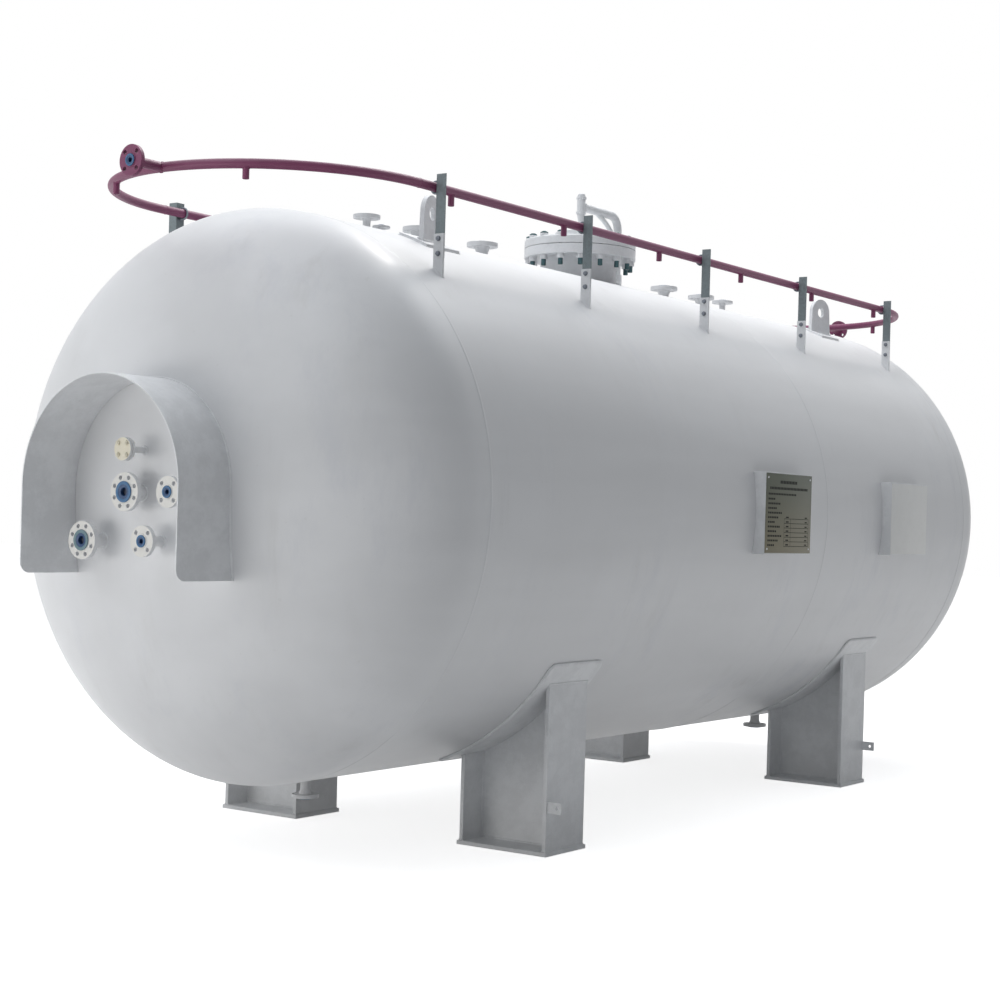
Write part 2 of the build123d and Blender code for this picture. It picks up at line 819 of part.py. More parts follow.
parts = {
    "shell_course_near": [shell_course(near_seam, mid_x + course_joint)],
    "shell_course_far": [shell_course(mid_x + course_joint, far_seam)],
    "near_head": [near_head()],
    "far_head": [far_head()],
    "valve_hood": [valve_hood()],
    "blind_flange": [blind_flange()],
    "face_caps": face_caps(),
    "top_nozzles_large": [top_nozzle(*n) for n in top_nozzles if n[0] is large],
    "top_nozzles_medium": [top_nozzle(*n) for n in top_nozzles if n[0] is top_medium],
    "top_nozzle_small": [top_nozzle(*n) for n in top_nozzles if n[0] is smallest],
    "bottom_nozzles": [bottom_nozzle(*n) for n in bottom_nozzles],
    "manhole_neck": [manhole_neck()],
    "manhole_gasket": [manhole_gasket()],
    "manhole_cover": [manhole_cover()],
    "manhole_studs": manhole_studs(),
    "davit_socket": [davit_socket()],
    "davit_arm": [davit_arm()],
    "davit_screw": [davit_screw()],
    "lifting_lugs": [lifting_lug(*p) for p in lug_places()],
    "lifting_lug_pads": [lug_pad(x, y) for x, y, _ in lug_places()],
    "leg_base_plates": [base_plate(*p) for p in leg_places()],
    "leg_inner_plates": [leg_plate(*p, leg_inner_y) for p in leg_places()],
    "leg_outer_plates": [leg_plate(*p, leg_outer_y - leg_plate_t) for p in leg_places()],
    "leg_webs": [leg_web(*p) for p in leg_places()],
    "wear_plates": [wear_plate(*p) for p in leg_places()],
    "earthing_lugs": [earthing_lug(end) for end in (-1, 1)],
    "plate_brackets": [plate_bracket(mid_x + x) for x in bracket_x],
    "data_plate": [front_plate(mid_x + bracket_x[0])],
    "sign_plate": [front_plate(mid_x + bracket_x[1])],
    "post_bars": [post_bar(*p) for p in post_places()],
    "post_angles": [post_angle(*p) for p in post_places()],
    "ring_clips": [ring_clip(*p) for p in post_places()],
    "ring_inlets": [ring_inlet_pipe(end) for end in (-1, 1)],
    "spray_nozzles": [spray_nozzle(*p) for p in spray_places()],
}
for name in head_nozzles:
    parts[name] = [head_nozzle(name)]
for word, side in sides:
    parts[f"ring_run_{word}"] = [ring_run(side)]
    parts[f"ring_bend_near_{word}"] = [ring_bend(-1, side)]
    parts[f"ring_bend_far_{word}"] = [ring_bend(1, side)]

os.makedirs("parts", exist_ok=True)
for name, solids in parts.items():
    shape = solids[0] if len(solids) == 1 else Compound(children=solids)
    export_step(shape, f"parts/{name}.step")
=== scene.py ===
import math
from dataclasses import dataclass

import bmesh
import bpy
from mathutils import Matrix, Vector, noise


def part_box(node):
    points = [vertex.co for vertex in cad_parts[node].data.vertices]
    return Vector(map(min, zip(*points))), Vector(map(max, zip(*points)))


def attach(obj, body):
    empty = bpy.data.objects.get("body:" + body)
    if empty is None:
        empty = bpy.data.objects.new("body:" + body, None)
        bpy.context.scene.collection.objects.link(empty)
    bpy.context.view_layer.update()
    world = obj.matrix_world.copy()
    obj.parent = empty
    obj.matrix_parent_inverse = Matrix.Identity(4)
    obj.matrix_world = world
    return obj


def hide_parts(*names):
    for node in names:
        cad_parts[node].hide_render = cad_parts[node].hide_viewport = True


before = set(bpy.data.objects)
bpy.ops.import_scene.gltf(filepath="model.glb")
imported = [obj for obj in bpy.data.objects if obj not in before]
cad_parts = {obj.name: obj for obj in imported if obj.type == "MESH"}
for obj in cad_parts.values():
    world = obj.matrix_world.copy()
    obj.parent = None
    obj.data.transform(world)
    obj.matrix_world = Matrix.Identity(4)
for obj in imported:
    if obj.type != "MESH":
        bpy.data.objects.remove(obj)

bl_info = {
    "name": "Horizontal Pressure Tank",
    "version": (1, 0, 0),
    "blender": (4, 5, 0),
    "location": "View3D > Sidebar > Tank",
    "description": "Builds the visible pieces, the paint and the stage of a horizontal pressure tank",
    "category": "Object",
}

MM = 0.001
FULL_TURN = 2 * math.pi
BODY = "root"
UP = (0, 0, 1)
FARWARD = (1, 0, 0)
NEARWARD = (-1, 0, 0)

# The shell's sizes, read from the frame
course_low, course_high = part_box("shell_course_near")
SHELL_R = (course_high.y - course_low.y) / 2
AXIS_Z = (course_high.z + course_low.z) / 2
NEAR_SEAM = course_low.x
MIDDLE_SEAM = course_high.x
FAR_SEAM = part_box("shell_course_far")[1].x
HEAD_SKIRT = 65 * MM
WALL = 18 * MM
HEAD_DEPTH = NEAR_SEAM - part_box("near_head")[0].x - HEAD_SKIRT
NEAR_TANGENT = NEAR_SEAM - HEAD_SKIRT
FAR_TANGENT = FAR_SEAM + HEAD_SKIRT
CENTRE = Vector(((NEAR_SEAM + FAR_SEAM) / 2, 0, AXIS_Z))
WEAR_PLATE_R = SHELL_R + 12 * MM

# The spray ring's sizes, read from the frame
run_low, run_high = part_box("ring_run_left")
RING_R = (run_high.z - run_low.z) / 2
RING_Z = run_low.z + RING_R
RING_HALF = run_high.y - RING_R
RING_ENDS = {"near": run_low.x, "far": run_high.x}


# Sizes and colours that a user may change

def length(name, description, size):
    """A length whose default is given in millimetres."""
    return bpy.props.FloatProperty(name=name, description=description, default=size * MM, subtype="DISTANCE")


def tint(name, description, colour):
    return bpy.props.FloatVectorProperty(
        name=name, description=description, default=colour, subtype="COLOR", min=0, max=1)


def power(name, description, watts):
    return bpy.props.FloatProperty(name=name, description=description, default=watts, subtype="POWER")


class TankShellSizes(bpy.types.PropertyGroup):
    """Sizes of the shell's visible surface."""

    steps: bpy.props.IntProperty(name="Steps", description="Steps round the shell", default=256, min=32)
    seam_width: length("Seam width", "Width of a girth weld", 20)
    seam_height: length("Seam height", "Height of a girth weld over the plate", 2.4)


class TankFittingSizes(bpy.types.PropertyGroup):
    """Sizes of the manhole, its bolting and its davit."""

    neck_radius: length("Neck radius", "Outer radius of the manhole neck", 210)
    stud: length("Stud", "Diameter of the manhole studs", 27)
    stud_circle: length("Stud circle", "Diameter of the circle of studs", 578)
    stud_count: bpy.props.IntProperty(name="Studs", description="Number of studs", default=16, min=4)
    nut_flats: length("Nut", "Width of a manhole nut across its flats", 41)
    davit_pipe: length("Davit pipe", "Outer radius of the davit's pipe", 24.15)
    davit_bend: length("Davit bend", "Radius of the davit's bend", 80)


class TankPaintColours(bpy.types.PropertyGroup):
    """Colours of the paints and bare metals."""

    tank: tint("Tank", "Tank paint", (0.76, 0.765, 0.775))
    steel: tint("Steelwork", "Paint of legs, hood, posts and fittings", (0.818, 0.828, 0.840))
    flange: tint("Flanges", "Cream paint of the flanges", (0.80, 0.785, 0.745))
    ring: tint("Spray ring", "Maroon paint of the ring", (0.185, 0.032, 0.098))
    galvanised: tint("Galvanised", "Zinc on the angles and clips", (0.16, 0.19, 0.20))
    cap: tint("Caps", "Plastic of the transport caps", (0.030, 0.125, 0.27))
    stud: tint("Studs", "Coating of the studs and nuts", (0.045, 0.095, 0.105))


class TankStageSettings(bpy.types.PropertyGroup):
    """Camera, lamps and sky."""

    lens: bpy.props.FloatProperty(name="Lens", description="Focal length", default=65.88, unit="CAMERA")
    camera: bpy.props.FloatVectorProperty(
        name="Camera", description="Place of the camera", default=(-8.716, -5.728, 1.537),
        subtype="TRANSLATION")
    top_power: power("Top lamp", "Power of the wide lamp over the tank", 520.0)
    key_power: power("Key lamp", "Power of the small lamp that casts the shadows", 250.0)
    near_power: power("Near lamp", "Power of the lamp high before the near end", 205.0)
    left_power: power("Left lamp", "Power of the lamp on the left of the near end", 78.0)
    low_power: power("Low lamp", "Power of the low lamp before the near end", 92.0)
    world: bpy.props.FloatProperty(name="World", description="Strength of the sky", default=0.165)


# Meshes

FACE_RISE = 1.6 * MM
EDGE = 1.0 * MM
NOZZLE_BEAD = 5 * MM
RIPPLES = 90

# Corners closer than this are one corner, in a new shape and in a node's own mesh
SAME_CORNER = 1e-6
SAME_NODE_CORNER = 1e-5

# Angles in degrees up to which an edge is shaded round
CREASE = 35.0
SOFT_CREASE = 60.0


@dataclass
class Flange:
    """Sizes of one flange and its pipe, in millimetres."""

    od: float
    thick: float
    face_d: float
    pcd: float
    holes: int
    hole_d: float
    hub_d: float
    hub_h: float
    pipe_d: float
    bore_d: float

    def root(self, count):
        """The circle of the weld at the foot of the pipe."""
        return circle(count, (self.pipe_d / 2 + 2.5) * MM)

    def bolt_circle(self):
        return circle(self.holes, self.pcd * MM / 2, math.pi / self.holes)


large = Flange(165.0, 22.4, 92.0, 127.0, 8, 19.0, 84.0, 34.0, 60.3, 52.5)
medium = Flange(133.0, 19.0, 63.5, 98.6, 4, 19.0, 63.5, 30.0, 42.4, 35.0)
top_medium = Flange(133.0, 17.5, 60.0, 95.0, 4, 19.0, 48.0, 16.0, 38.0, 30.0)
low_near = Flange(127.0, 17.5, 73.0, 98.4, 4, 16.0, 64.0, 27.0, 48.3, 41.0)
low_far = Flange(152.4, 19.0, 92.0, 120.7, 4, 19.0, 76.0, 28.0, 60.3, 52.5)
small = Flange(98.6, 12.7, 43.0, 69.9, 4, 16.0, 38.0, 18.0, 26.7, 21.0)
smallest = Flange(88.9, 11.2, 35.0, 60.3, 4, 16.0, 30.0, 16.0, 21.3, 15.8)


def facing(place, axis):
    """A frame at place whose Z looks along axis."""
    return Matrix.Translation(place) @ Vector(axis).to_track_quat("Z", "Y").to_matrix().to_4x4()


def turns(count, whole=math.pi / 2):
    """Angles from 0 to the whole in equal steps."""
    return [whole * i / count for i in range(count + 1)]


def circle(count, radius, first=0.0):
    return [(radius * math.cos(first + turn), radius * math.sin(first + turn))
            for turn in turns(count, FULL_TURN)[:-1]]


def line(first, last, count):
    return [Vector(first).lerp(Vector(last), i / (count - 1)) for i in range(count)]


class Piece:
    """One visible piece in the making: a bmesh that becomes an object riding on the tank."""

    def __init__(self, name):
        self.name = name
        self.mesh = bmesh.new()

    def _join(self, shape, place=None):
        """Merges a shape's doubles, turns its faces outwards, puts it in place and adds it."""
        bmesh.ops.remove_doubles(shape, verts=shape.verts, dist=SAME_CORNER)
        bare = [edge for edge in shape.edges if not edge.link_faces]
        bmesh.ops.delete(shape, geom=bare, context="EDGES")
        bmesh.ops.recalc_face_normals(shape, faces=shape.faces)
        if place is not None:
            bmesh.ops.transform(shape, matrix=place, verts=shape.verts)
        loose = bpy.data.meshes.new("loose")
        shape.to_mesh(loose)
        shape.free()
        self.mesh.from_mesh(loose)
        bpy.data.meshes.remove(loose)
        return self

    @staticmethod
    def _spin(shape, points, steps, centre=(0, 0, 0)):
        """Spins an open chain of corners round an upright line through centre."""
        verts = [shape.verts.new(point) for point in points]
        edges = [shape.edges.new(pair) for pair in zip(verts, verts[1:])]
        bmesh.ops.spin(shape, geom=verts + edges, cent=centre, axis=UP, angle=FULL_TURN, steps=steps,
                       use_merge=True)

    @staticmethod
    def _bevel(shape, offset):
        bmesh.ops.bevel(shape, geom=shape.edges[:], offset=offset, offset_type="OFFSET", segments=2,
                        profile=0.5, affect="EDGES", material=-1)

    def turned(self, outline, place, axis, steps=48):
        """Spins a closed outline of (radius, height) corners round an axis."""
        shape = bmesh.new()
        chain = [(radius, 0, height) for radius, height in outline]
        if outline[0][0] or outline[-1][0]:
            chain.append(chain[0])
        self._spin(shape, chain, steps)
        return self._join(shape, facing(place, axis))

    def rod(self, radius, first, last, steps=24, bevel=0.5 * MM):
        """A round bar between two points, with bevelled ends."""
        axis = Vector(last) - Vector(first)
        end = axis.length
        return self.turned([(0, 0), (radius - bevel, 0), (radius, bevel), (radius, end - bevel),
                            (radius - bevel, end), (0, end)], first, axis, steps)

    def drilled(self, chains, holes, hole_r, planes, place, steps=72):
        """Spun open chains joined by flat faces at two heights, with a hole at each (x, y)."""
        shape = bmesh.new()
        low, high = sorted(planes)
        for chain in chains:
            self._spin(shape, [(radius, 0, height) for radius, height in chain], steps)
        for x, y in holes:
            wall = [(hole_r + EDGE, low), (hole_r, low + EDGE), (hole_r, high - EDGE), (hole_r + EDGE, high)]
            self._spin(shape, [(x + radius, y, height) for radius, height in wall], 20, (x, y, 0))
        bmesh.ops.remove_doubles(shape, verts=shape.verts, dist=SAME_CORNER)
        for height in planes:
            edges = [edge for edge in shape.edges
                     if edge.is_boundary and all(abs(end.co.z - height) < SAME_CORNER for end in edge.verts)]
            bmesh.ops.triangle_fill(shape, use_beauty=True, edges=edges)
        return self._join(shape, place)

    def flange(self, f, face, axis, reach):
        """A weld-neck flange with its bolt holes, its face at a point, and its pipe behind."""
        pipe, bore, hub, rim = f.pipe_d * MM / 2, f.bore_d * MM / 2, f.hub_d * MM / 2, f.od * MM / 2
        face_r = f.face_d * MM / 2
        front = -FACE_RISE
        back = front - f.thick * MM
        hub_h = f.hub_h * MM
        curve, hub_start, hub_end = (hub - pipe) * 0.12, hub_h * 0.16, hub_h * 0.80
        neck = [(hub, back), (hub - curve, back - hub_start), (pipe + curve, back - hub_end),
                (pipe, back - hub_h), (pipe, -reach)]
        mouth = [(bore, -reach), (bore, -EDGE), (bore + EDGE, 0), (face_r - EDGE / 2, 0), (face_r, front)]
        edge = [(rim - EDGE, front), (rim, front - EDGE), (rim, back + EDGE), (rim - EDGE, back)]
        return self.drilled([neck + mouth, edge], f.bolt_circle(), f.hole_d * MM / 2, (front, back),
                            facing(face, axis))

    def nut(self, flats, height, place, axis, turn=0.0):
        """A hexagon nut or bolt head with bevelled corners, its base at place."""
        shape = bmesh.new()
        radius = flats / math.sqrt(3)
        bmesh.ops.create_cone(shape, cap_ends=True, segments=6, radius1=radius, radius2=radius, depth=height,
                              matrix=Matrix.Rotation(turn, 4, "Z"))
        self._bevel(shape, flats * 0.05)
        return self._join(shape, facing(place, axis) @ Matrix.Translation((0, 0, height / 2)))

    def bar(self, low, high, bevel=0.0):
        """A block between two corners, with bevelled edges where a bevel is given."""
        shape = bmesh.new()
        low, high = Vector(low), Vector(high)
        bmesh.ops.create_cube(shape, size=1, matrix=Matrix.Translation((low + high) / 2)
                              @ Matrix.Diagonal((*(high - low), 1)))
        if bevel:
            self._bevel(shape, bevel)
        return self._join(shape)

    def sweep(self, points, radius, sides, closed=False, ripple=0.0):
        """A round bar along a line of points."""
        shape = bmesh.new()
        count = len(points)
        rings = []
        turn = Vector(UP).rotation_difference(Vector(points[1]) - Vector(points[0]))
        for index, point in enumerate(points):
            after = points[(index + 1) % count] if closed or index < count - 1 else point
            before = points[index - 1] if closed or index > 0 else point
            along = Vector(after) - Vector(before)
            turn = (turn @ Vector(UP)).rotation_difference(along) @ turn
            size = radius * (1 + ripple * noise.noise(Vector(point) * RIPPLES))
            place = Matrix.Translation(point) @ turn.to_matrix().to_4x4()
            rings.append(bmesh.ops.create_circle(shape, segments=sides, radius=size, matrix=place)["verts"])
        if closed:
            shift = min(range(sides), key=lambda s: (rings[0][s].co - rings[-1][0].co).length)
            rings.append([rings[0][(i + shift) % sides] for i in range(sides)])
        else:
            shape.faces.new(rings[0])
            shape.faces.new(rings[-1])
        for first, second in zip(rings, rings[1:]):
            for i in range(sides):
                j = (i + 1) % sides
                shape.faces.new((first[i], first[j], second[j], second[i]))
        return self._join(shape)

    def bead(self, points, radius, closed=False, sides=8, ripple=0.2):
        """A rippled weld bead along a line of points."""
        return self.sweep(points, radius, sides, closed, ripple)

    def copy_of(self, node):
        """The node's own solids, merged, with their flat faces made whole."""
        shape = bmesh.new()
        shape.from_mesh(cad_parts[node].data)
        bmesh.ops.remove_doubles(shape, verts=shape.verts, dist=SAME_NODE_CORNER)
        bmesh.ops.dissolve_limit(shape, angle_limit=math.radians(0.4), verts=shape.verts, edges=shape.edges)
        return self._join(shape)

    def finish(self, finish, slot, replaces=(), smooth=CREASE, bevel=0.0, segments=2, front=None):
        """Turns the bmesh into the object that stands on the tank.

        front is a second finish and a direction, for the faces that look that way.
        """
        data = bpy.data.meshes.new(self.name)
        self.mesh.to_mesh(data)
        self.mesh.free()
        data.shade_smooth()
        data.set_sharp_from_angle(angle=math.radians(smooth))
        made = bpy.data.objects.new(self.name, data)
        bpy.context.scene.collection.objects.link(made)
        data.materials.clear()
        data.materials.append(finish)
        if front:
            data.materials.append(front[0])
            for face in data.polygons:
                face.material_index = int(face.normal.dot(Vector(front[1])) > 0.9)
        if bevel:
            modifier = made.modifiers.new("Bevel", "BEVEL")
            modifier.width = bevel
            modifier.segments = segments
            modifier.limit_method = "ANGLE"
            modifier.angle_limit = math.radians(32)
            modifier.harden_normals = True
        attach(made, BODY)
        if replaces:
            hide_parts(*replaces)


def dressed(name, node, finish, slot, bevel, segments=2):
    """Makes a piece with the node's own solids and bevelled edges, in place of the node."""
    Piece(name).copy_of(node).finish(finish, slot, [node], bevel=bevel, segments=segments)


def solids(node):
    """The lowest and highest corners of each separate solid of a node, along the tank."""
    mesh = bmesh.new()
    mesh.from_mesh(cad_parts[node].data)
    bmesh.ops.remove_doubles(mesh, verts=mesh.verts, dist=SAME_NODE_CORNER)
    left = set(mesh.verts)
    boxes = []
    while left:
        group = [left.pop()]
        found = list(group)
        while group:
            vert = group.pop()
            for edge in vert.link_edges:
                other = edge.other_vert(vert)
                if other in left:
                    left.remove(other)
                    group.append(other)
                    found.append(other)
        low = Vector([min(vert.co[i] for vert in found) for i in range(3)])
        high = Vector([max(vert.co[i] for vert in found) for i in range(3)])
        boxes.append((low, high))
    mesh.free()
    return sorted(boxes, key=lambda box: (round(box[0].x, 3), box[0].y, box[0].z))


def middle(box):
    return (box[0] + box[1]) / 2


def on_head(y, z):
    """The point of the near head at a place beside and above the axis."""
    reach = HEAD_DEPTH * math.sqrt(1 - (math.hypot(y, z) / SHELL_R) ** 2)
    return Vector((NEAR_TANGENT - reach, y, AXIS_Z + z))


def on_shell(x, y, radius=SHELL_R, way=1):
    """The point of the shell, or of a body round it, over or under a place."""
    return Vector((x, y, AXIS_Z + way * math.sqrt(radius ** 2 - y ** 2)))


# Materials

class Sock:
    """A socket that adds Math nodes when it is used in sums."""

    def __init__(self, graph, socket):
        self.graph = graph
        self.socket = socket

    def _maths(self, operation, *values, clamp=False):
        return self.graph.add("ShaderNodeMath", {"operation": operation, "use_clamp": clamp},
                              dict(enumerate(values)))

    def __add__(self, other):
        return self._maths("ADD", self, other)

    def __radd__(self, other):
        return self._maths("ADD", other, self)

    def __sub__(self, other):
        return self._maths("SUBTRACT", self, other)

    def __rsub__(self, other):
        return self._maths("SUBTRACT", other, self)

    def __mul__(self, other):
        return self._maths("MULTIPLY", self, other)

    def __rmul__(self, other):
        return self._maths("MULTIPLY", other, self)

    def clamped(self):
        return self._maths("ADD", self, 0.0, clamp=True)

    def most(self, other):
        return self._maths("MAXIMUM", self, other)


class Graph:
    """The nodes of a material or of the sky."""

    def __init__(self, tree):
        self.tree = tree
        self.tree.nodes.clear()

    def add(self, kind, settings=None, inputs=None, output=0):
        """Adds a node, makes its settings, then fills or links its sockets."""
        made = self.tree.nodes.new(kind)
        for name, value in (settings or {}).items():
            setattr(made, name, value)
        for name, value in (inputs or {}).items():
            if isinstance(value, Sock):
                self.tree.links.new(value.socket, made.inputs[name])
            else:
                made.inputs[name].default_value = value
        return Sock(self, made.outputs[output]) if made.outputs else None

    def seen(self):
        """1 on the rays that show the background, and 0 on those that light the tank."""
        kinds = ("Camera", "Glossy", "Transmission")
        camera, glossy, transmission = [
            self.add("ShaderNodeLightPath", output=f"Is {kind} Ray") for kind in kinds]
        return camera.most(glossy).most(transmission)


class Finish(Graph):
    """One material, with the patterns that its finish is made of."""

    def __init__(self, name):
        self.material = bpy.data.materials.new(name)
        self.material.use_nodes = True
        super().__init__(self.material.node_tree)
        self.place = self.add("ShaderNodeTexCoord", output="Object")

    def noise(self, scale, detail=3.0, roughness=0.5, at=None):
        return self.add("ShaderNodeTexNoise", None, {
            "Vector": at or self.place, "Scale": scale, "Detail": detail, "Roughness": roughness})

    def stretched(self, scale, shift=(0.0, 0.0, 0.0)):
        """The place, scaled along each axis."""
        return self.add("ShaderNodeMapping", None, {"Vector": self.place, "Location": shift, "Scale": scale})

    def ramp(self, value, low, high):
        """0 below low, 1 above high and smooth between."""
        return self.add("ShaderNodeMapRange", {"interpolation_type": "SMOOTHSTEP"}, {
            "Value": value, "From Min": low, "From Max": high, "To Min": 0.0, "To Max": 1.0})

    def height(self):
        """The place's height over the floor."""
        return self.add("ShaderNodeSeparateXYZ", None, {0: self.place}, output="Z")

    def blend(self, factor, first, second):
        return self.add("ShaderNodeMix", {"data_type": "RGBA"}, {
            "Factor": factor, 6: rgb(first), 7: rgb(second)}, output=2)

    def shades(self, factor, colour, low, high):
        """The colour between two shares of itself."""
        first, second = [[channel * share for channel in colour] for share in (low, high)]
        return self.blend(factor, first, second)

    def bump(self, height, strength, distance, under=None):
        inputs = {"Height": height, "Strength": strength, "Distance": distance}
        if under:
            inputs["Normal"] = under
        return self.add("ShaderNodeBump", None, inputs)

    def done(self, **inputs):
        """Ends the material in one glossy or metal surface."""
        names = {name.replace(" ", "_").lower(): name for name in (
            "Base Color", "Metallic", "Roughness", "Normal", "Coat Weight", "Coat Roughness",
            "Specular IOR Level")}
        surface = self.add("ShaderNodeBsdfPrincipled", None,
                           {names[key]: value for key, value in inputs.items()})
        self.add("ShaderNodeOutputMaterial", None, {"Surface": surface})
        return self.material


def rgb(colour):
    """A colour's three channels with full alpha, or a colour that a node gives, as it is."""
    return colour if isinstance(colour, Sock) else (*colour, 1.0)


def tank_paint(name, colour):
    """Sprayed white paint: soft gloss, fine orange peel, plates not quite true, dust, and bluish grey
    streaks of painted reflection.
    """
    reflection_blue, grime = (0.57, 0.585, 0.64), (0.50, 0.49, 0.46)
    paint = Finish(name)
    cloud = paint.noise(0.7, 4.0, 0.6)
    streak = paint.noise(1.0, 5.0, 0.65, at=paint.stretched((7.0, 7.0, 0.7)))
    course = paint.noise(1.0, 3.0, 0.5, at=paint.stretched((0.35, 1.6, 2.6), (3.0, 1.0, 0.0)))
    dust = paint.ramp(streak, 0.52, 0.80) * paint.ramp(cloud, 0.35, 0.70) * 0.25
    fleck = paint.ramp(paint.noise(38.0, 2.0), 0.70, 0.78) * 0.10
    # Bluish grey upright streaks: a painted reflection of the surroundings
    reflection_streaks = paint.noise(1.0, 6.0, 0.7, at=paint.stretched((4.5, 3.0, 1.1), (0.0, 2.0, 5.0)))
    reflection_streaks = paint.ramp(reflection_streaks, 0.50, 0.74) * paint.ramp(cloud, 0.40, 0.60)
    shade = paint.ramp(course, 0.35, 0.65) * 0.6 + paint.ramp(cloud, 0.35, 0.65) * 0.4
    base = paint.shades(shade, colour, 0.915, 1.02)
    base = paint.blend(reflection_streaks * 0.28, base, reflection_blue)
    base = paint.blend((dust + fleck).clamped(), base, grime)
    peel = paint.bump(paint.noise(420.0, 1.0), 0.05, 0.0004)
    plates = paint.bump(paint.noise(1.6, 2.0, 0.4), 0.32, 0.014, under=peel)
    return paint.done(base_color=base, roughness=0.38 + 0.16 * cloud + 0.2 * dust, normal=plates,
                      coat_weight=0.08, coat_roughness=0.30)


def steel_paint(name, colour):
    """The same paint brushed over structural steel, with dust near the ground."""
    grime = (0.40, 0.39, 0.37)
    splash_height = 0.30
    paint = Finish(name)
    cloud = paint.noise(3.0, 4.0, 0.6)
    rolled = paint.ramp(paint.noise(7.0, 6.0, 0.75), 0.40, 0.62)
    foot = 1.0 - paint.ramp(paint.height(), 0.0, splash_height)
    spots = paint.ramp(paint.noise(16.0, 4.0, 0.7), 0.58, 0.74)
    dust = (foot * 0.35 + spots * 0.2) * 0.4
    base = paint.shades(cloud * 0.4 + rolled * 0.6, colour, 0.88, 1.02)
    base = paint.blend(dust.clamped(), base, grime)
    grain = paint.bump(paint.noise(160.0, 3.0), 0.10, 0.0006)
    dents = paint.bump(paint.noise(6.0, 2.0), 0.12, 0.004, under=grain)
    return paint.done(base_color=base, roughness=0.34 + 0.2 * cloud + 0.2 * spots, normal=dents)


def flange_paint(name, colour):
    """Thick paint over a machined flange, with small stains."""
    rust_stain = (0.42, 0.38, 0.30)
    paint = Finish(name)
    cloud = paint.noise(14.0, 4.0, 0.6)
    stain = paint.ramp(paint.noise(55.0, 4.0, 0.7), 0.58, 0.75) * 0.22
    base = paint.shades(cloud, colour, 0.90, 1.0)
    base = paint.blend(stain, base, rust_stain)
    grain = paint.bump(paint.noise(300.0, 2.0), 0.12, 0.0004)
    return paint.done(base_color=base, roughness=0.42 + 0.2 * cloud, normal=grain)


def ring_paint(name, colour):
    """Thin maroon paint over pipe, paler in patches: partly wear where it was handled, partly painted
    highlight.
    """
    wear_and_highlight_maroon = (0.40, 0.17, 0.29)
    paint = Finish(name)
    cloud = paint.noise(5.0, 5.0, 0.65)
    wear_and_highlight = paint.ramp(paint.noise(30.0, 5.0, 0.7), 0.55, 0.78)
    top = paint.ramp(paint.noise(2.0, 2.0), 0.40, 0.65)
    base = paint.shades(cloud, colour, 0.72, 1.15)
    # Small patches and the large patches called top blend towards a paler maroon, partly real wear and
    # partly painted highlight
    base = paint.blend(wear_and_highlight * 0.22 + top * 0.08, base, wear_and_highlight_maroon)
    grain = paint.bump(paint.noise(240.0, 3.0), 0.18, 0.0005)
    return paint.done(base_color=base, roughness=0.48 + 0.18 * wear_and_highlight, normal=grain)


def zinc(name, colour):
    """Hot-dip zinc: crystals of slightly different greys."""
    metal = Finish(name)
    crystal = metal.add("ShaderNodeTexVoronoi", {"feature": "F1"}, {
        "Vector": metal.place, "Scale": 90.0, "Randomness": 1.0}, output="Color")
    tone = metal.add("ShaderNodeSeparateColor", None, {"Color": crystal}, output="Red")
    cloud = metal.noise(18.0, 4.0, 0.6)
    base = metal.shades(tone * 0.6 + cloud * 0.4, colour, 0.78, 1.22)
    grain = metal.bump(metal.noise(260.0, 3.0), 0.15, 0.0004)
    return metal.done(base_color=base, metallic=0.55, roughness=0.42 + 0.22 * tone, normal=grain)


def plastic(name, colour):
    """Moulded plastic with a little dust on it."""
    pale_dust = (0.30, 0.33, 0.36)
    cap = Finish(name)
    cloud = cap.noise(40.0, 4.0, 0.6)
    dust = cap.ramp(cap.noise(90.0, 4.0, 0.7), 0.50, 0.80) * 0.25
    base = cap.shades(cloud, colour, 0.8, 1.15)
    base = cap.blend(dust, base, pale_dust)
    grain = cap.bump(cap.noise(400.0, 2.0), 0.10, 0.0003)
    return cap.done(base_color=base, roughness=0.36 + 0.2 * cloud, normal=grain)


def stud_steel(name, colour):
    """Coated studs: dark green-black, with threads and paler patches, partly wear of the coating and partly
    painted highlight.
    """
    rub_and_glint_steel = (0.26, 0.32, 0.31)
    metal = Finish(name)
    cloud = metal.noise(60.0, 4.0, 0.65)
    rub_and_glint = metal.ramp(metal.noise(120.0, 4.0, 0.7), 0.58, 0.72)
    base = metal.shades(cloud, colour, 0.6, 1.5)
    # Paler patches: partly wear of the coating, partly painted highlight of the bright facets
    base = metal.blend(rub_and_glint * 0.5, base, rub_and_glint_steel)
    thread = metal.add("ShaderNodeTexWave", {"wave_type": "BANDS", "bands_direction": "Z"}, {
        "Vector": metal.place, "Scale": 105.0, "Distortion": 0.0})
    grain = metal.bump(thread, 0.25, 0.0006)
    return metal.done(base_color=base, metallic=0.55, roughness=0.36 + 0.2 * cloud, normal=grain)


def dark_matt(name, dark, pale):
    """Matt black, for the gasket and the marks etched on the plate."""
    matt = Finish(name)
    cloud = matt.noise(50.0, 3.0)
    base = matt.blend(cloud, (dark, dark, dark), (pale, pale, pale))
    return matt.done(base_color=base, roughness=0.7 + 0.2 * cloud, specular_ior_level=0.1)


def etched_plate(name):
    """A brushed plate with faint rolling marks, greener at the top and warmer at the foot."""
    foot_tone, top_tone, mark_tone = (0.118, 0.104, 0.060), (0.036, 0.050, 0.036), (0.13, 0.13, 0.10)
    metal = Finish(name)
    low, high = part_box("data_plate")
    brushed = metal.noise(6.0, 4.0, 0.7, at=metal.stretched((2.0, 1.0, 90.0)))
    cloud = metal.noise(5.0, 3.0, 0.6)
    base = metal.blend(metal.ramp(metal.height(), low.z, high.z), foot_tone, top_tone)
    base = metal.blend(brushed * 0.4 + cloud * 0.2, base, mark_tone)
    return metal.done(base_color=base, metallic=0.35, roughness=0.40 + 0.2 * brushed)


finishes = {}


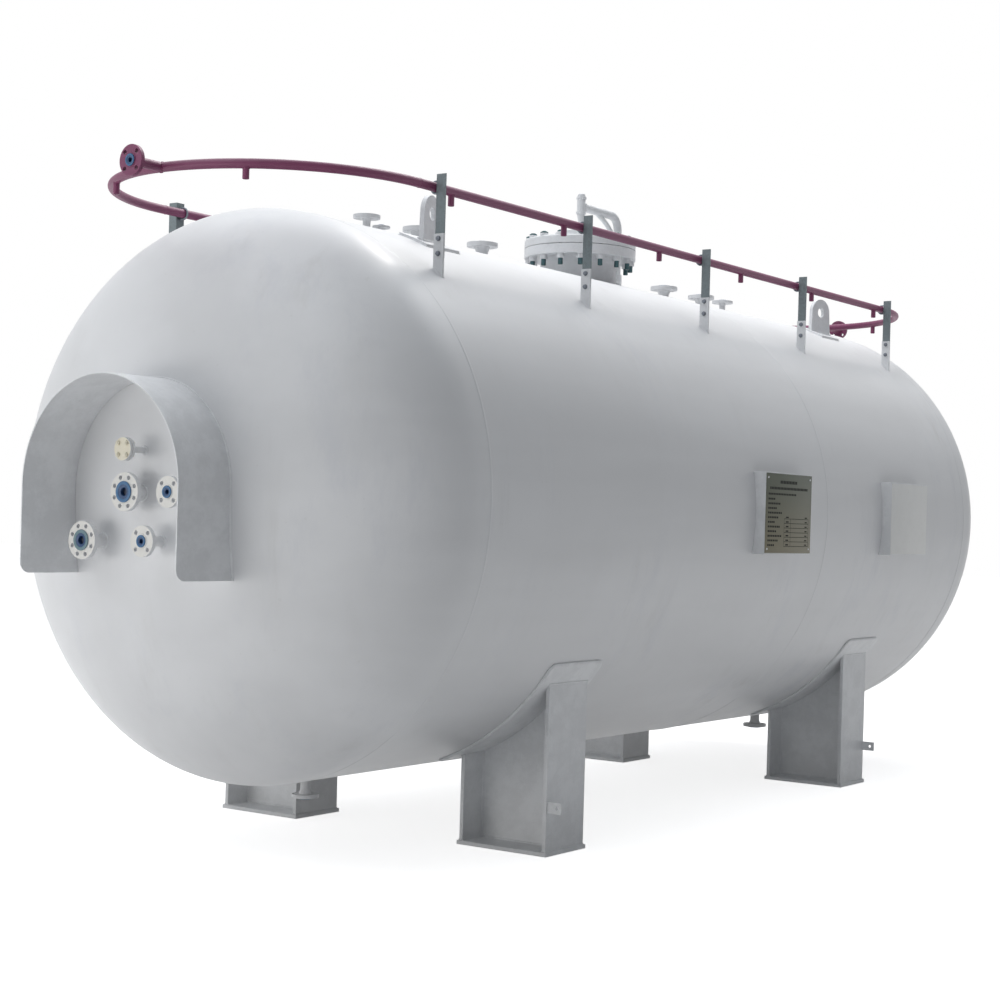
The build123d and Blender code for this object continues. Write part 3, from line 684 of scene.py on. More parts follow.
def finish_for(key):
    """The material of a finish, made once."""
    colours = bpy.context.scene.tank_paint
    makers = {
        "tank_white": (tank_paint, colours.tank),
        "steel_white": (steel_paint, colours.steel),
        "flange_cream": (flange_paint, colours.flange),
        "flange_white": (flange_paint, colours.tank),
        "aged_cream": (flange_paint, (0.80, 0.75, 0.61)),
        "board_white": (flange_paint, (0.87, 0.87, 0.85)),
        "ring_pipe": (ring_paint, colours.ring),
        "galvanised": (zinc, colours.galvanised),
        "dull_zinc": (zinc, (0.19, 0.21, 0.24)),
        "bright_steel": (zinc, (0.55, 0.56, 0.58)),
        "cap_plastic": (plastic, colours.cap),
        # A paler, greyer copy of the cap plastic, painted sheen for the caps on the lit side
        "cap_dull": (plastic, (0.13, 0.22, 0.25)),
        # Darker copies of the cap plastic: painted shade on the recessed cone and painted shadow on the
        # well's floor
        "cap_deep": (plastic, (0.012, 0.052, 0.145)),
        "cap_dark": (plastic, (0.006, 0.012, 0.035)),
        "stud_coating": (stud_steel, colours.stud),
        "engraving": (dark_matt, 0.012, 0.030),
        "gasket": (dark_matt, 0.02, 0.06),
        "data_plate": (etched_plate,),
    }
    if key not in finishes:
        maker, *tones = makers[key]
        finishes[key] = maker(key, *tones)
    return finishes[key]


# Operators, one for each group of pieces

class TANK_OT_shell(bpy.types.Operator):
    """Build the two courses, the two ends and the girth welds"""

    bl_idname = "tank.shell"
    bl_label = "Shell"

    def execute(self, context):
        sizes = context.scene.tank_shell
        paint = finish_for("tank_white")
        skins = [("shell_course_near", self.course_outline(MIDDLE_SEAM - NEAR_SEAM), NEAR_SEAM, FARWARD),
                 ("shell_course_far", self.course_outline(FAR_SEAM - MIDDLE_SEAM), MIDDLE_SEAM, FARWARD),
                 ("near_head", self.head_outline(), NEAR_TANGENT, NEARWARD),
                 ("far_head", self.head_outline(), FAR_TANGENT, FARWARD)]
        for node, outline, x, way in skins:
            Piece(node + "_skin").turned(outline, (x, 0, AXIS_Z), way, sizes.steps).finish(
                paint, "tank_white", [node], smooth=SOFT_CREASE)
        welds = Piece("girth_welds")
        half = sizes.seam_width / 2
        root = SHELL_R - 1 * MM
        crown = [(SHELL_R + sizes.seam_height * (1 + math.cos(math.pi * i / 5)) / 2, -half * i / 5)
                 for i in range(-5, 6)]
        for seam in (NEAR_SEAM, MIDDLE_SEAM, FAR_SEAM):
            welds.turned(crown + [(root, -half), (root, half)], (seam, 0, AXIS_Z), FARWARD, sizes.steps)
        welds.finish(paint, "tank_white", smooth=SOFT_CREASE)
        return {"FINISHED"}

    @staticmethod
    def course_outline(span):
        inner = SHELL_R - WALL
        return [(SHELL_R, 0), (SHELL_R, span), (inner, span), (inner, 0)]

    @staticmethod
    def head_outline():
        """Outer and inner ellipse of an end, from the rim to the pole and back."""
        inner = SHELL_R - WALL
        rise = turns(40)[:-1]
        outer_side = [(SHELL_R * math.cos(t), HEAD_DEPTH * math.sin(t)) for t in rise]
        inner_side = [(inner * math.cos(t), (HEAD_DEPTH - WALL) * math.sin(t)) for t in reversed(rise)]
        return [(SHELL_R, -HEAD_SKIRT), *outer_side, (0, HEAD_DEPTH),
                (0, HEAD_DEPTH - WALL), *inner_side, (inner, -HEAD_SKIRT)]


class TANK_OT_near_end(bpy.types.Operator):
    """Build the hood and the nozzles of the near end"""

    bl_idname = "tank.near_end"
    bl_label = "Near end"

    def execute(self, context):
        paint = finish_for("steel_white")
        white = finish_for("flange_white")
        dressed("hood_plate", "valve_hood", paint, "tank_white", 1.2 * MM)
        welds = Piece("near_end_welds")
        self.hood_weld(welds)
        nozzles = {"head_nozzle_top": small, "head_nozzle_centre": large, "head_nozzle_right": medium,
                   "head_nozzle_low_left": large, "head_nozzle_low_right": medium}
        for node, f in nozzles.items():
            low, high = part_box(node)
            at = middle((low, high))
            Piece(node + "_flange").flange(f, (low.x, at.y, at.z), NEARWARD, high.x - low.x).finish(
                white, "flange_cream", [node], front=(finish_for("flange_cream"), NEARWARD))
            root = [on_head(at.y + y, at.z - AXIS_Z + z) for y, z in f.root(40)]
            welds.bead(root, NOZZLE_BEAD, closed=True)
        self.blind(white, finish_for("aged_cream"))
        welds.finish(paint, "tank_white", smooth=SOFT_CREASE)
        return {"FINISHED"}

    @staticmethod
    def hood_weld(welds):
        """The weld along the hood's outer side, up one leg, over the arch and down the other."""
        low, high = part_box("valve_hood")
        radius = high.y + 2 * MM
        spring = high.z - high.y - AXIS_Z
        foot = low.z - AXIS_Z
        arch = [(radius * math.cos(t), spring + radius * math.sin(t)) for t in turns(48, math.pi)]
        legs = [foot + (spring - foot) * i / 12 for i in range(12)]
        path = [(radius, z) for z in legs] + arch + [(-radius, z) for z in reversed(legs)]
        welds.bead([on_head(y, z) for y, z in path], 5 * MM)

    @staticmethod
    def blind(white, cream):
        """The disc on the top nozzle with its four stud bolts."""
        low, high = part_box("blind_flange")
        at = middle((low, high))
        rim = small.od * MM / 2
        back = FACE_RISE
        out = back + small.thick * MM
        holes = small.bolt_circle()
        seat = facing((high.x, at.y, at.z), NEARWARD)
        face = [(0, 0), (small.face_d * MM / 2, 0), (small.face_d * MM / 2, back)]
        edge = [(rim - EDGE, back), (rim, back + EDGE), (rim, out - EDGE), (rim - EDGE, out)]
        Piece("blind_disc").drilled([face, edge], holes, small.hole_d * MM / 2, (back, out), seat).finish(
            white, "flange_cream", ["blind_flange"], front=(cream, NEARWARD))
        bolts = Piece("blind_bolts")
        flats, nut_h, bolt_r, past = 19 * MM, 8 * MM, 6 * MM, Vector((11 * MM, 0, 0))
        grip = 2 * out
        for index, (x, y) in enumerate(holes):
            outside = seat @ Vector((x, y, out))
            inside = seat @ Vector((x, y, out - grip))
            bolts.nut(flats, nut_h, outside, NEARWARD, turn=index * 0.6)
            bolts.nut(flats, nut_h, inside, FARWARD, turn=index * 1.1)
            bolts.rod(bolt_r, outside - past, inside + past, 20, 1 * MM)
        bolts.finish(cream, "flange_cream")


class TANK_OT_caps(bpy.types.Operator):
    """Build the plastic caps in the open flanges"""

    bl_idname = "tank.caps"
    bl_label = "Caps"

    def execute(self, context):
        blue = Piece("flange_caps")
        dull = Piece("flange_cap_painted_sheen")
        cones = Piece("cap_cones")
        wells = Piece("cap_wells")
        for box in solids("face_caps"):
            size = box[1] - box[0]
            thin = min(range(3), key=lambda i: size[i])
            way = math.copysign(1, middle(box)[thin] - CENTRE[thin])
            axis = Vector([way if i == thin else 0 for i in range(3)])
            face = middle(box) - axis * size[thin] / 2
            on_near_end = thin == 0 and way < 0
            # Caps on the near end's left side take a paler, greyer copy of the same plastic: painted sheen
            # of the light on that side
            sheen_painted_cap = on_near_end and middle(box).y > 100 * MM
            self.cap(dull if sheen_painted_cap else blue, cones, wells, max(size) / 2, size[thin], face, axis)
        blue.finish(finish_for("cap_plastic"), "cap_plastic", ["face_caps"])
        dull.finish(finish_for("cap_dull"), "cap_plastic")
        cones.finish(finish_for("cap_deep"), "cap_plastic")
        wells.finish(finish_for("cap_dark"), "cap_plastic")
        return {"FINISHED"}

    @staticmethod
    def cap(rim, cones, wells, radius, lip, face, axis):
        """One cap: a rounded rim, a sloping cone inside it and a deep well; the cone is painted darker and
        the well's floor near black, as painted shade in the recess.
        """
        step = radius * 0.68
        well = radius * 0.40
        floor = -16 * MM
        rim.turned([(radius - 1 * MM, 0), (radius, 1 * MM), (radius, lip - 1.6 * MM),
                    (radius - 0.8 * MM, lip - 0.4 * MM), (radius - 2.2 * MM, lip),
                    (step + 2 * MM, lip - 0.4 * MM), (step, lip - 1.6 * MM), (step, 0)], face, axis)
        cone = step + 0.5 * MM
        cone_top = lip - 2.4 * MM
        cones.turned([(cone, 0), (cone, cone_top), (step - 1 * MM, cone_top),
                      (well + 1.6 * MM, lip - 3.6 * MM), (well, lip - 4.4 * MM), (well - 1 * MM, floor),
                      (well + 1 * MM, floor), (well + 2 * MM, 0)], face, axis)
        bottom = well - 1 * MM
        wells.turned([(0, floor), (bottom, floor), (bottom, floor + 2 * MM), (0, floor + 4 * MM)],
                     face, axis, 32)


class TANK_OT_manhole(bpy.types.Operator):
    """Build the manhole with its studs and cover"""

    bl_idname = "tank.manhole"
    bl_label = "Manhole"

    def execute(self, context):
        sizes = context.scene.tank_fittings
        paint = finish_for("steel_white")
        low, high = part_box("manhole_neck")
        cover_low, cover_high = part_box("manhole_cover")
        x = (low.x + high.x) / 2
        rim = (high.x - low.x) / 2
        thick, plate, pad_r = 54 * MM, 48 * MM, 145 * MM
        holes = circle(sizes.stud_count, sizes.stud_circle / 2, math.pi / sizes.stud_count)
        hole_r = sizes.stud / 2 + 1.5 * MM

        neck_r = sizes.neck_radius
        bore = neck_r - 12 * MM
        hub_r = neck_r + 25 * MM
        neck = [(hub_r, -thick), (hub_r - 3 * MM, -thick - 5 * MM), (neck_r + 3 * MM, -thick - 27 * MM),
                (neck_r, -thick - 32 * MM), (neck_r, low.z - high.z), (bore, low.z - high.z), (bore, -EDGE),
                (bore + EDGE, 0)]
        edge = [(rim - 2 * EDGE, 0), (rim, -2 * EDGE), (rim, -thick + 2 * EDGE), (rim - 2 * EDGE, -thick)]
        Piece("manhole_ring").drilled([neck, edge], holes, hole_r, (-thick, 0), facing((x, 0, high.z), UP),
                                      128).finish(paint, "tank_white", ["manhole_neck"])

        pad_h = cover_high.z - cover_low.z
        pad = [(0, pad_h), (pad_r - 2 * EDGE, pad_h), (pad_r, pad_h - 2 * EDGE), (pad_r, plate)]
        lid = [(rim - 8 * MM, plate), (rim, plate - 8 * MM), (rim, 2 * EDGE), (rim - 2 * EDGE, 0)]
        Piece("manhole_lid").drilled([pad, lid], holes, hole_r, (plate, 0), facing((x, 0, cover_low.z), UP),
                                     128).finish(paint, "tank_white", ["manhole_cover"])

        self.bolting(sizes, paint, cover_low.z + plate, high.z - thick)
        welds = Piece("manhole_welds")
        welds.bead([on_shell(x + a, b) for a, b in circle(96, neck_r + 4 * MM)], 8 * MM, closed=True)
        pad_foot = cover_low.z + plate + 1 * MM
        welds.bead([(x + a, b, pad_foot) for a, b in circle(72, pad_r + 2 * MM)], 5 * MM, closed=True)
        welds.finish(paint, "tank_white", smooth=SOFT_CREASE)
        return {"FINISHED"}

    @staticmethod
    def bolting(sizes, paint, top, under):
        """Coated studs through the flange pair, with a painted nut and washer at both ends."""
        studs = Piece("manhole_bolting")
        nuts = Piece("manhole_nuts")
        across = sizes.nut_flats
        washer_r = across * 0.56
        washer, low_nut, high_nut, bare_nut = 4 * MM, 22 * MM, 11 * MM, 8 * MM
        for index, box in enumerate(solids("manhole_studs")):
            at = middle(box)
            turn = index * 1.7

            def level(z):
                return (at.x, at.y, z)

            studs.rod(sizes.stud / 2, level(box[0].z), level(box[1].z), 28, 1.5 * MM)
            nuts.rod(washer_r, level(top), level(top + washer), 32, 0.6 * MM)
            nuts.rod(washer_r, level(under), level(under - washer), 32, 0.6 * MM)
            nuts.nut(across, high_nut, level(top + washer), UP, turn)
            studs.nut(across - 2 * MM, bare_nut, level(top + washer + high_nut - 1 * MM), UP, turn)
            nuts.nut(across, low_nut, level(under - washer), (0, 0, -1), turn)
        studs.finish(finish_for("stud_coating"), "stud_coating", ["manhole_studs"])
        nuts.finish(paint, "stud_coating")


class TANK_OT_davit(bpy.types.Operator):
    """Build the davit over the manhole"""

    bl_idname = "tank.davit"
    bl_label = "Davit"

    def execute(self, context):
        paint = finish_for("steel_white")
        sizes = context.scene.tank_fittings
        socket_r = 33.5 * MM
        dressed("davit_post", "davit_socket", paint, "tank_white", 1 * MM)
        low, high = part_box("davit_arm")
        screw_low, screw_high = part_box("davit_screw")
        hub_x = (screw_low.x + screw_high.x) / 2
        post_x = high.x - sizes.davit_pipe
        self.arm(sizes, paint, low.z, high.z, hub_x, post_x)
        self.screw(paint, hub_x, screw_low.z, screw_high.z)
        welds = Piece("davit_welds")
        welds.bead([on_shell(post_x + x, y) for x, y in circle(40, socket_r)], 5 * MM, closed=True)
        welds.finish(paint, "tank_white", smooth=SOFT_CREASE)
        return {"FINISHED"}

    @staticmethod
    def arm(sizes, paint, foot, top, hub_x, post_x):
        """The bent pipe with its brace and the sleeve at its end."""
        radius, bend = sizes.davit_pipe, sizes.davit_bend
        arm_z = top - 55 * MM
        pipe = Piece("davit_pipe")
        bend_x, bend_z = post_x - bend, arm_z - bend
        corner = [(bend_x + bend * math.cos(t), 0, bend_z + bend * math.sin(t)) for t in turns(20)]
        pipe.sweep([(post_x, 0, foot)] + corner + [(hub_x, 0, arm_z)], radius, 40)

        brace_r, bow = 14 * MM, Vector((20 * MM, 0, 20 * MM))
        first = Vector((hub_x + 168 * MM, 0, arm_z - radius / 2))
        last = Vector((post_x, 0, arm_z - 185 * MM))
        brace = [first.lerp(last, t / math.pi) + bow * math.sin(t) for t in turns(16, math.pi)]
        pipe.sweep(brace, brace_r, 24)

        sleeve = 97 * MM
        bore, hub, lip, lip_h, soft = 12 * MM, 24 * MM, 29 * MM, 12 * MM, 1 * MM
        pipe.turned([(bore, 0), (lip - soft, 0), (lip, -soft), (lip, -lip_h), (hub, -lip_h - 2 * soft),
                     (hub, lip_h + 2 * soft - sleeve), (lip, lip_h - sleeve), (lip, soft - sleeve),
                     (lip - soft, -sleeve), (bore, -sleeve)], (hub_x, 0, top), UP)
        pipe.bead([(hub_x + hub, y, arm_z + z) for y, z in circle(36, radius + 1 * MM)], 3 * MM, closed=True)
        pipe.finish(paint, "tank_white", ["davit_arm"])

    @staticmethod
    def screw(paint, x, pad, top):
        """The lifting screw: a domed cap, a cone under the sleeve, a shank and a nut on the pad."""
        rise = top - pad
        shank, cone, cap = 11 * MM, 23 * MM, 22 * MM
        piece = Piece("davit_spindle")
        piece.turned([(0, 0), (shank, 0), (shank, rise - 190 * MM), (shank + 2 * MM, rise - 178 * MM),
                      (cone, rise - 119 * MM), (cone, rise - 116 * MM), (shank, rise - 115 * MM),
                      (shank, rise - 21 * MM), (cap, rise - 20 * MM), (cap, rise - 10 * MM),
                      (cap - 3 * MM, rise - 4 * MM), (shank, rise - 0.5 * MM), (0, rise)], (x, 0, pad), UP)
        piece.nut(46 * MM, 20 * MM, (x, 0, pad), UP)
        piece.finish(paint, "tank_white", ["davit_screw"])


class TANK_OT_nozzles(bpy.types.Operator):
    """Build the nozzles over and under the shell"""

    bl_idname = "tank.nozzles"
    bl_label = "Nozzles"

    def execute(self, context):
        paint = finish_for("flange_white")
        welds = Piece("nozzle_welds")
        flanges = {"top_nozzles_large": (large,) * 4, "top_nozzles_medium": (top_medium,) * 2,
                   "top_nozzle_small": (smallest,), "bottom_nozzles": (low_near, low_far)}
        for node, sizes in flanges.items():
            low_side = node == "bottom_nozzles"
            way = -1 if low_side else 1
            piece = Piece(node + "_flanges")
            for f, box in zip(sizes, solids(node)):
                x = middle(box).x
                face = box[0].z if low_side else box[1].z
                piece.flange(f, (x, 0, face), (0, 0, way), box[1].z - box[0].z)
                welds.bead([on_shell(x + a, b, way=way) for a, b in f.root(36)], NOZZLE_BEAD, closed=True)
            piece.finish(paint, "flange_cream" if low_side else "tank_white", [node])
        welds.finish(finish_for("steel_white"), "tank_white", smooth=SOFT_CREASE)
        return {"FINISHED"}


class TANK_OT_lifting(bpy.types.Operator):
    """Build the lifting lugs and their pads"""

    bl_idname = "tank.lifting"
    bl_label = "Lifting lugs"

    def execute(self, context):
        paint = finish_for("steel_white")
        dressed("lug_plates", "lifting_lugs", paint, "tank_white", 1.5 * MM)
        dressed("lug_doublers", "lifting_lug_pads", paint, "tank_white", 2 * MM)
        welds = Piece("lug_welds")
        gap, steps = 1 * MM, 12
        for low, high in solids("lifting_lug_pads"):
            corners = [(low.x - gap, low.y - gap), (high.x + gap, low.y - gap),
                       (high.x + gap, high.y + gap), (low.x - gap, high.y + gap)]
            edge = [start.lerp(end, i / steps) for start, end in self.sides(corners) for i in range(steps)]
            welds.bead([on_shell(x, y, SHELL_R + gap) for x, y in edge], 3 * MM, closed=True)
        half_length, half_thick = 97.5 * MM, 14 * MM
        for box in solids("lifting_lugs"):
            at = middle(box)
            span = Vector((at.x - CENTRE.x, at.y, 0)).normalized()
            across = Vector((-span.y, span.x, 0))
            for side in (-1, 1):
                foot = at + across * side * half_thick
                base = line(foot - span * half_length, foot + span * half_length, 17)
                welds.bead([on_shell(p.x, p.y, SHELL_R + 13 * MM) for p in base], 6 * MM)
        welds.finish(paint, "tank_white", smooth=SOFT_CREASE)
        return {"FINISHED"}

    @staticmethod
    def sides(corners):
        """The sides of a closed outline, each from corner to corner."""
        points = [Vector(corner) for corner in corners]
        return list(zip(points, points[1:] + points[:1]))


class TANK_OT_legs(bpy.types.Operator):
    """Build the four legs, their wear plates and the earthing lugs"""

    bl_idname = "tank.legs"
    bl_label = "Legs"

    def execute(self, context):
        paint = finish_for("steel_white")
        for node in ("leg_base_plates", "leg_inner_plates", "leg_outer_plates", "leg_webs", "wear_plates"):
            dressed(node + "_steel", node, paint, "tank_white", 1.5 * MM)
        dressed("earthing_tabs", "earthing_lugs", paint, "tank_white", 0.8 * MM)
        welds = Piece("leg_welds")
        for box in solids("wear_plates"):
            self.pad_weld(welds, box)
        for node in ("leg_outer_plates", "leg_inner_plates"):
            for plate, web in zip(solids(node), solids("leg_webs")):
                self.corner_welds(welds, plate, web)
        welds.finish(paint, "tank_white", smooth=SOFT_CREASE)
        return {"FINISHED"}

    @staticmethod
    def pad_weld(welds, box):
        """The fillet round a wear plate: its rounded outline, laid flat and rolled round the shell."""
        low, high = box
        side = math.copysign(1, middle(box).y)
        radius = SHELL_R + 4 * MM
        near = min(abs(low.y), abs(high.y))
        foot_turn = max(math.acos(min(1.0, (AXIS_Z - low.z) / WEAR_PLATE_R)), math.asin(near / SHELL_R))
        top_turn = math.acos((AXIS_Z - high.z) / SHELL_R)
        foot, top = foot_turn * WEAR_PLATE_R, top_turn * WEAR_PLATE_R
        corner = 40 * MM
        corners = ((high.x - corner, top - corner), (low.x + corner, top - corner),
                   (low.x + corner, foot + corner), (high.x - corner, foot + corner))
        path = []
        for quarter, centre in enumerate(corners):
            arc = [Vector(centre) + Vector((math.cos(t), math.sin(t))) * corner
                   for t in [quarter * math.pi / 2 + turn for turn in turns(8)]]
            if path:
                path += line(path[-1], arc[0], 17)[1:-1]
            path += arc
        path += line(path[-1], path[0], 17)[1:-1]
        rolled = [(x, s / WEAR_PLATE_R) for x, s in path]
        points = [Vector((x, side * radius * math.sin(t), AXIS_Z - radius * math.cos(t))) for x, t in rolled]
        welds.bead(points, 6 * MM, closed=True, ripple=0.15)

    @staticmethod
    def corner_welds(welds, plate, web):
        """Fillets where a leg plate meets its web, its base and the wear plate."""
        low, high = plate
        toward = math.copysign(1, middle(web).y - middle(plate).y)
        face = middle(plate).y + toward * (high.y - low.y) / 2
        floor = low.z + 1 * MM
        web_size, base_size, top_size = 6.5 * MM, 4.5 * MM, 5.5 * MM
        for x in (web[0].x, web[1].x):
            foot = (x, face, floor)
            top = on_shell(x, face, WEAR_PLATE_R, -1)
            welds.bead(line(foot, top, 24), web_size, sides=6)
            welds.bead(line(foot, (x, middle(web).y, floor), 16), web_size, sides=6)
        for y in (low.y, high.y):
            welds.bead(line((low.x, y, floor), (high.x, y, floor), 20), base_size, sides=6)
            ends = [on_shell(x, y, WEAR_PLATE_R, -1) for x in (low.x, high.x)]
            welds.bead(line(*ends, 20), top_size, sides=6)


class TANK_OT_side_plates(bpy.types.Operator):
    """Build the plates on the right-hand side"""

    bl_idname = "tank.side_plates"
    bl_label = "Side plates"

    def execute(self, context):
        dressed("plate_stands", "plate_brackets", finish_for("steel_white"), "tank_white", 0.8 * MM)
        for node, finish, slot in (("data_plate", "data_plate", "data_plate"),
                                   ("sign_plate", "board_white", "sign_white")):
            Piece(node + "_sheet").bar(*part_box(node), 0.4 * MM).finish(finish_for(finish), slot, [node])
        self.screws()
        self.rows()
        return {"FINISHED"}

    @staticmethod
    def screws():
        """Domed screws in the corners of the data plate."""
        low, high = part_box("data_plate")
        inset = 22 * MM
        dome = [(0, 0), (5.5 * MM, 0), (5.2 * MM, 1.2 * MM), (3.6 * MM, 2.4 * MM), (0, 3 * MM)]
        screws = Piece("plate_screws")
        for x in (low.x + inset, high.x - inset):
            for z in (low.z + inset, high.z - inset):
                screws.turned(dome, (x, low.y, z), (0, -1, 0), 24)
        screws.finish(finish_for("bright_steel"), "galvanised")

    @staticmethod
    def rows():
        """Plain dashes and a blank ruled table engraved on the data plate, placed by shares of its size."""
        low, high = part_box("data_plate")
        width, height = high.x - low.x, high.z - low.z
        rows = Piece("data_rows")

        def mark(x0, x1, z0, z1, wide=0.0, tall=0.0):
            rows.bar((low.x + width * x0, low.y - 0.25 * MM, low.z + height * z0),
                     (low.x + width * x1 + wide, low.y + 0.2 * MM, low.z + height * z1 + tall))

        # Three titles: where each starts, the pitch of its dashes, how many they are, and their height
        titles = ((0.30, 0.034, 11, 0.876, 16 * MM), (0.08, 0.032, 26, 0.800, 13 * MM),
                  (0.05, 0.036, 17, 0.730, 10 * MM))
        dash_share = 0.72
        for start, pitch, count, z, tall in titles:
            for index in range(count):
                mark(start + pitch * index, start + pitch * (index + dash_share), z, z, tall=tall)

        top_row, row_pitch, row_count, first_ruled = 0.668, 0.058, 11, 4
        label_x, pitch, dash = 0.05, 0.038, 0.028
        table_left, table_split, table_right, table_foot, table_top = 0.40, 0.54, 0.94, 0.084, 0.436
        for index in range(row_count):
            z = top_row - index * row_pitch
            for part in range(4 + index * 3 % 5):
                mark(label_x + pitch * part, label_x + dash + pitch * part, z, z, tall=10 * MM)
            if index >= first_ruled:
                rule, entry = z - 0.004, z + 0.010
                mark(table_left, table_right, rule, rule, tall=2.6 * MM)
                mark(0.44, 0.50, entry, entry, tall=7 * MM)
                mark(0.86, 0.91, entry, entry, tall=6 * MM)
        for x in (table_left, table_split, table_right):
            mark(x, x, table_foot, table_top, wide=2 * MM)
        rows.finish(finish_for("engraving"), "data_plate")


class TANK_OT_spray_ring(bpy.types.Operator):
    """Build the spray ring with its inlets and nozzles"""

    bl_idname = "tank.spray_ring"
    bl_label = "Spray ring"

    def execute(self, context):
        paint = finish_for("ring_pipe")
        welds = Piece("ring_welds")
        for word, side in (("left", 1), ("right", -1)):
            ends = [(x, side * RING_HALF, RING_Z) for x in RING_ENDS.values()]
            Piece(f"ring_run_{word}_pipe").rod(RING_R, *ends, 40).finish(
                paint, "ring_pipe", [f"ring_run_{word}"])
            for end, way in (("near", -1), ("far", 1)):
                x = RING_ENDS[end]
                path = [(x + way * RING_HALF * math.sin(t), side * RING_HALF * math.cos(t), RING_Z)
                        for t in turns(28)]
                Piece(f"ring_bend_{end}_{word}_pipe").sweep(path, RING_R, 40).finish(
                    paint, "ring_pipe", [f"ring_bend_{end}_{word}"])
                self.butt(welds, (x, side * RING_HALF, RING_Z))
        self.inlets(paint, welds)
        self.nozzles(paint, welds)
        welds.finish(paint, "ring_pipe", smooth=SOFT_CREASE)
        return {"FINISHED"}

    @staticmethod
    def butt(welds, place):
        """A low round bead round a pipe joint."""
        rise, half, root = 1.1 * MM, 3.5 * MM, RING_R - 1 * MM
        crown = [(RING_R + rise * math.sin(t), half * math.cos(t)) for t in turns(6, math.pi)]
        welds.turned(crown + [(root, -half), (root, half)], place, FARWARD, 40)

    def inlets(self, paint, welds):
        """The flanged pipe at each end, welded into the bend."""
        piece = Piece("ring_inlet_pipes")
        for end, way, box in zip(("near", "far"), (-1, 1), solids("ring_inlets")):
            face = box[0].x if way < 0 else box[1].x
            reach = abs(face - RING_ENDS[end]) - RING_HALF - RING_R * 0.5
            piece.flange(medium, (face, 0, RING_Z), (way, 0, 0), reach)
            back = face - way * (FACE_RISE + (medium.thick + medium.hub_h) * MM)
            self.butt(welds, (back, 0, RING_Z))
            root = []
            for a, b in circle(40, RING_R + 1.5 * MM):
                out = math.sqrt(max(0, RING_R ** 2 - min(b, RING_R, key=abs) ** 2))
                x = RING_ENDS[end] + way * (math.sqrt(RING_HALF ** 2 - a ** 2) + out)
                root.append((x, a, RING_Z + b))
            welds.bead(root, 2.6 * MM, closed=True)
        piece.finish(paint, "ring_pipe", ["ring_inlets"])

    @staticmethod
    def nozzles(paint, welds):
        """Threaded sockets under the ring, each with an open bore."""
        outer, bore = 14.5 * MM, 9.5 * MM
        piece = Piece("spray_sockets")
        for box in solids("spray_nozzles"):
            at = middle(box)
            tip = box[0].z
            end = RING_Z - RING_R * 0.6 - tip
            piece.turned([(bore + 1 * MM, 0), (outer - 1.2 * MM, 0), (outer, 1.2 * MM), (outer, end),
                          (bore, end), (bore, 1 * MM)], (at.x, at.y, tip), UP, 32)
            piece.rod(bore + 0.5 * MM, (at.x, at.y, tip + 16 * MM), (at.x, at.y, tip + 18 * MM), 20)
            bend_x = min(max(at.x, RING_ENDS["near"]), RING_ENDS["far"])
            out = Vector((at.x - bend_x, at.y, 0)).normalized()
            root = []
            for a, b in circle(28, outer + 1 * MM):
                across = Vector((a, b, 0)).dot(out)
                root.append((at.x + a, at.y + b, RING_Z - math.sqrt(RING_R ** 2 - across ** 2)))
            welds.bead(root, 2 * MM, closed=True)
        piece.finish(paint, "ring_pipe", ["spray_nozzles"])


class TANK_OT_posts(bpy.types.Operator):
    """Build the posts under the ring, with their bolts and clips"""

    bl_idname = "tank.posts"
    bl_label = "Posts"

    def execute(self, context):
        paint = finish_for("steel_white")
        dressed("post_flats", "post_bars", paint, "tank_white", 1 * MM)
        dressed("post_uprights", "post_angles", finish_for("galvanised"), "galvanised", 1.5 * MM, segments=3)
        bolts = Piece("post_bolts")
        welds = Piece("post_welds")
        for low, high in solids("post_bars"):
            for drop in (22 * MM, 88 * MM):
                self.bolt(bolts, low.x, high.x, (low.y + high.y) / 2, high.z - drop, drop)
            for x in (low.x - 1 * MM, high.x + 1 * MM):
                root = [on_shell(x, low.y + (high.y - low.y) * i / 8) for i in range(9)]
                welds.bead(root, 4 * MM)
        bolts.finish(finish_for("dull_zinc"), "galvanised")
        welds.finish(paint, "tank_white", smooth=SOFT_CREASE)
        self.clips()
        return {"FINISHED"}

    @staticmethod
    def bolt(bolts, bar_near, bar_far, y, z, drop):
        """A bolt through a post's bar and angle: washers, head, nut and the thread that stands out."""
        angle, washer_r, washer, flats = 5 * MM, 12 * MM, 1.8 * MM, 19 * MM
        front, back = bar_near, bar_far + angle
        bolts.rod(washer_r, (front, y, z), (front - washer, y, z), 28, 0.4 * MM)
        bolts.nut(flats, 7.5 * MM, (front - washer, y, z), NEARWARD, turn=drop * 90)
        bolts.rod(washer_r, (back, y, z), (back + washer, y, z), 28, 0.4 * MM)
        bolts.nut(flats, 10 * MM, (back + washer, y, z), FARWARD, turn=drop * 40)
        bolts.rod(6 * MM, (back, y, z), (back + 19 * MM, y, z), 18, 0.8 * MM)

    @staticmethod
    def clips():
        """U-bolts round the ring pipe, with a washer and a nut on each leg."""
        rod, washer = 5 * MM, 1.6 * MM
        bend = RING_R + rod + 0.3 * MM
        seat = RING_HALF + RING_R + 5.3 * MM
        clips = Piece("pipe_clips")
        for low, high in solids("ring_clips"):
            x = (low.x + high.x) / 2
            side = math.copysign(1, low.y)
            tip = max(abs(low.y), abs(high.y))
            bow = [(x, side * (RING_HALF - bend * math.sin(t)), RING_Z - bend * math.cos(t))
                   for t in turns(20, math.pi)]
            clips.sweep([(x, side * tip, RING_Z - bend)] + bow + [(x, side * tip, RING_Z + bend)], rod, 16)
            for z in (RING_Z - bend, RING_Z + bend):
                clips.rod(10 * MM, (x, side * seat, z), (x, side * (seat + washer), z), 24, 0.3 * MM)
                clips.nut(17 * MM, 8 * MM, (x, side * (seat + washer), z), (0, side, 0), turn=z * 50)
        clips.finish(finish_for("dull_zinc"), "galvanised", ["ring_clips"])


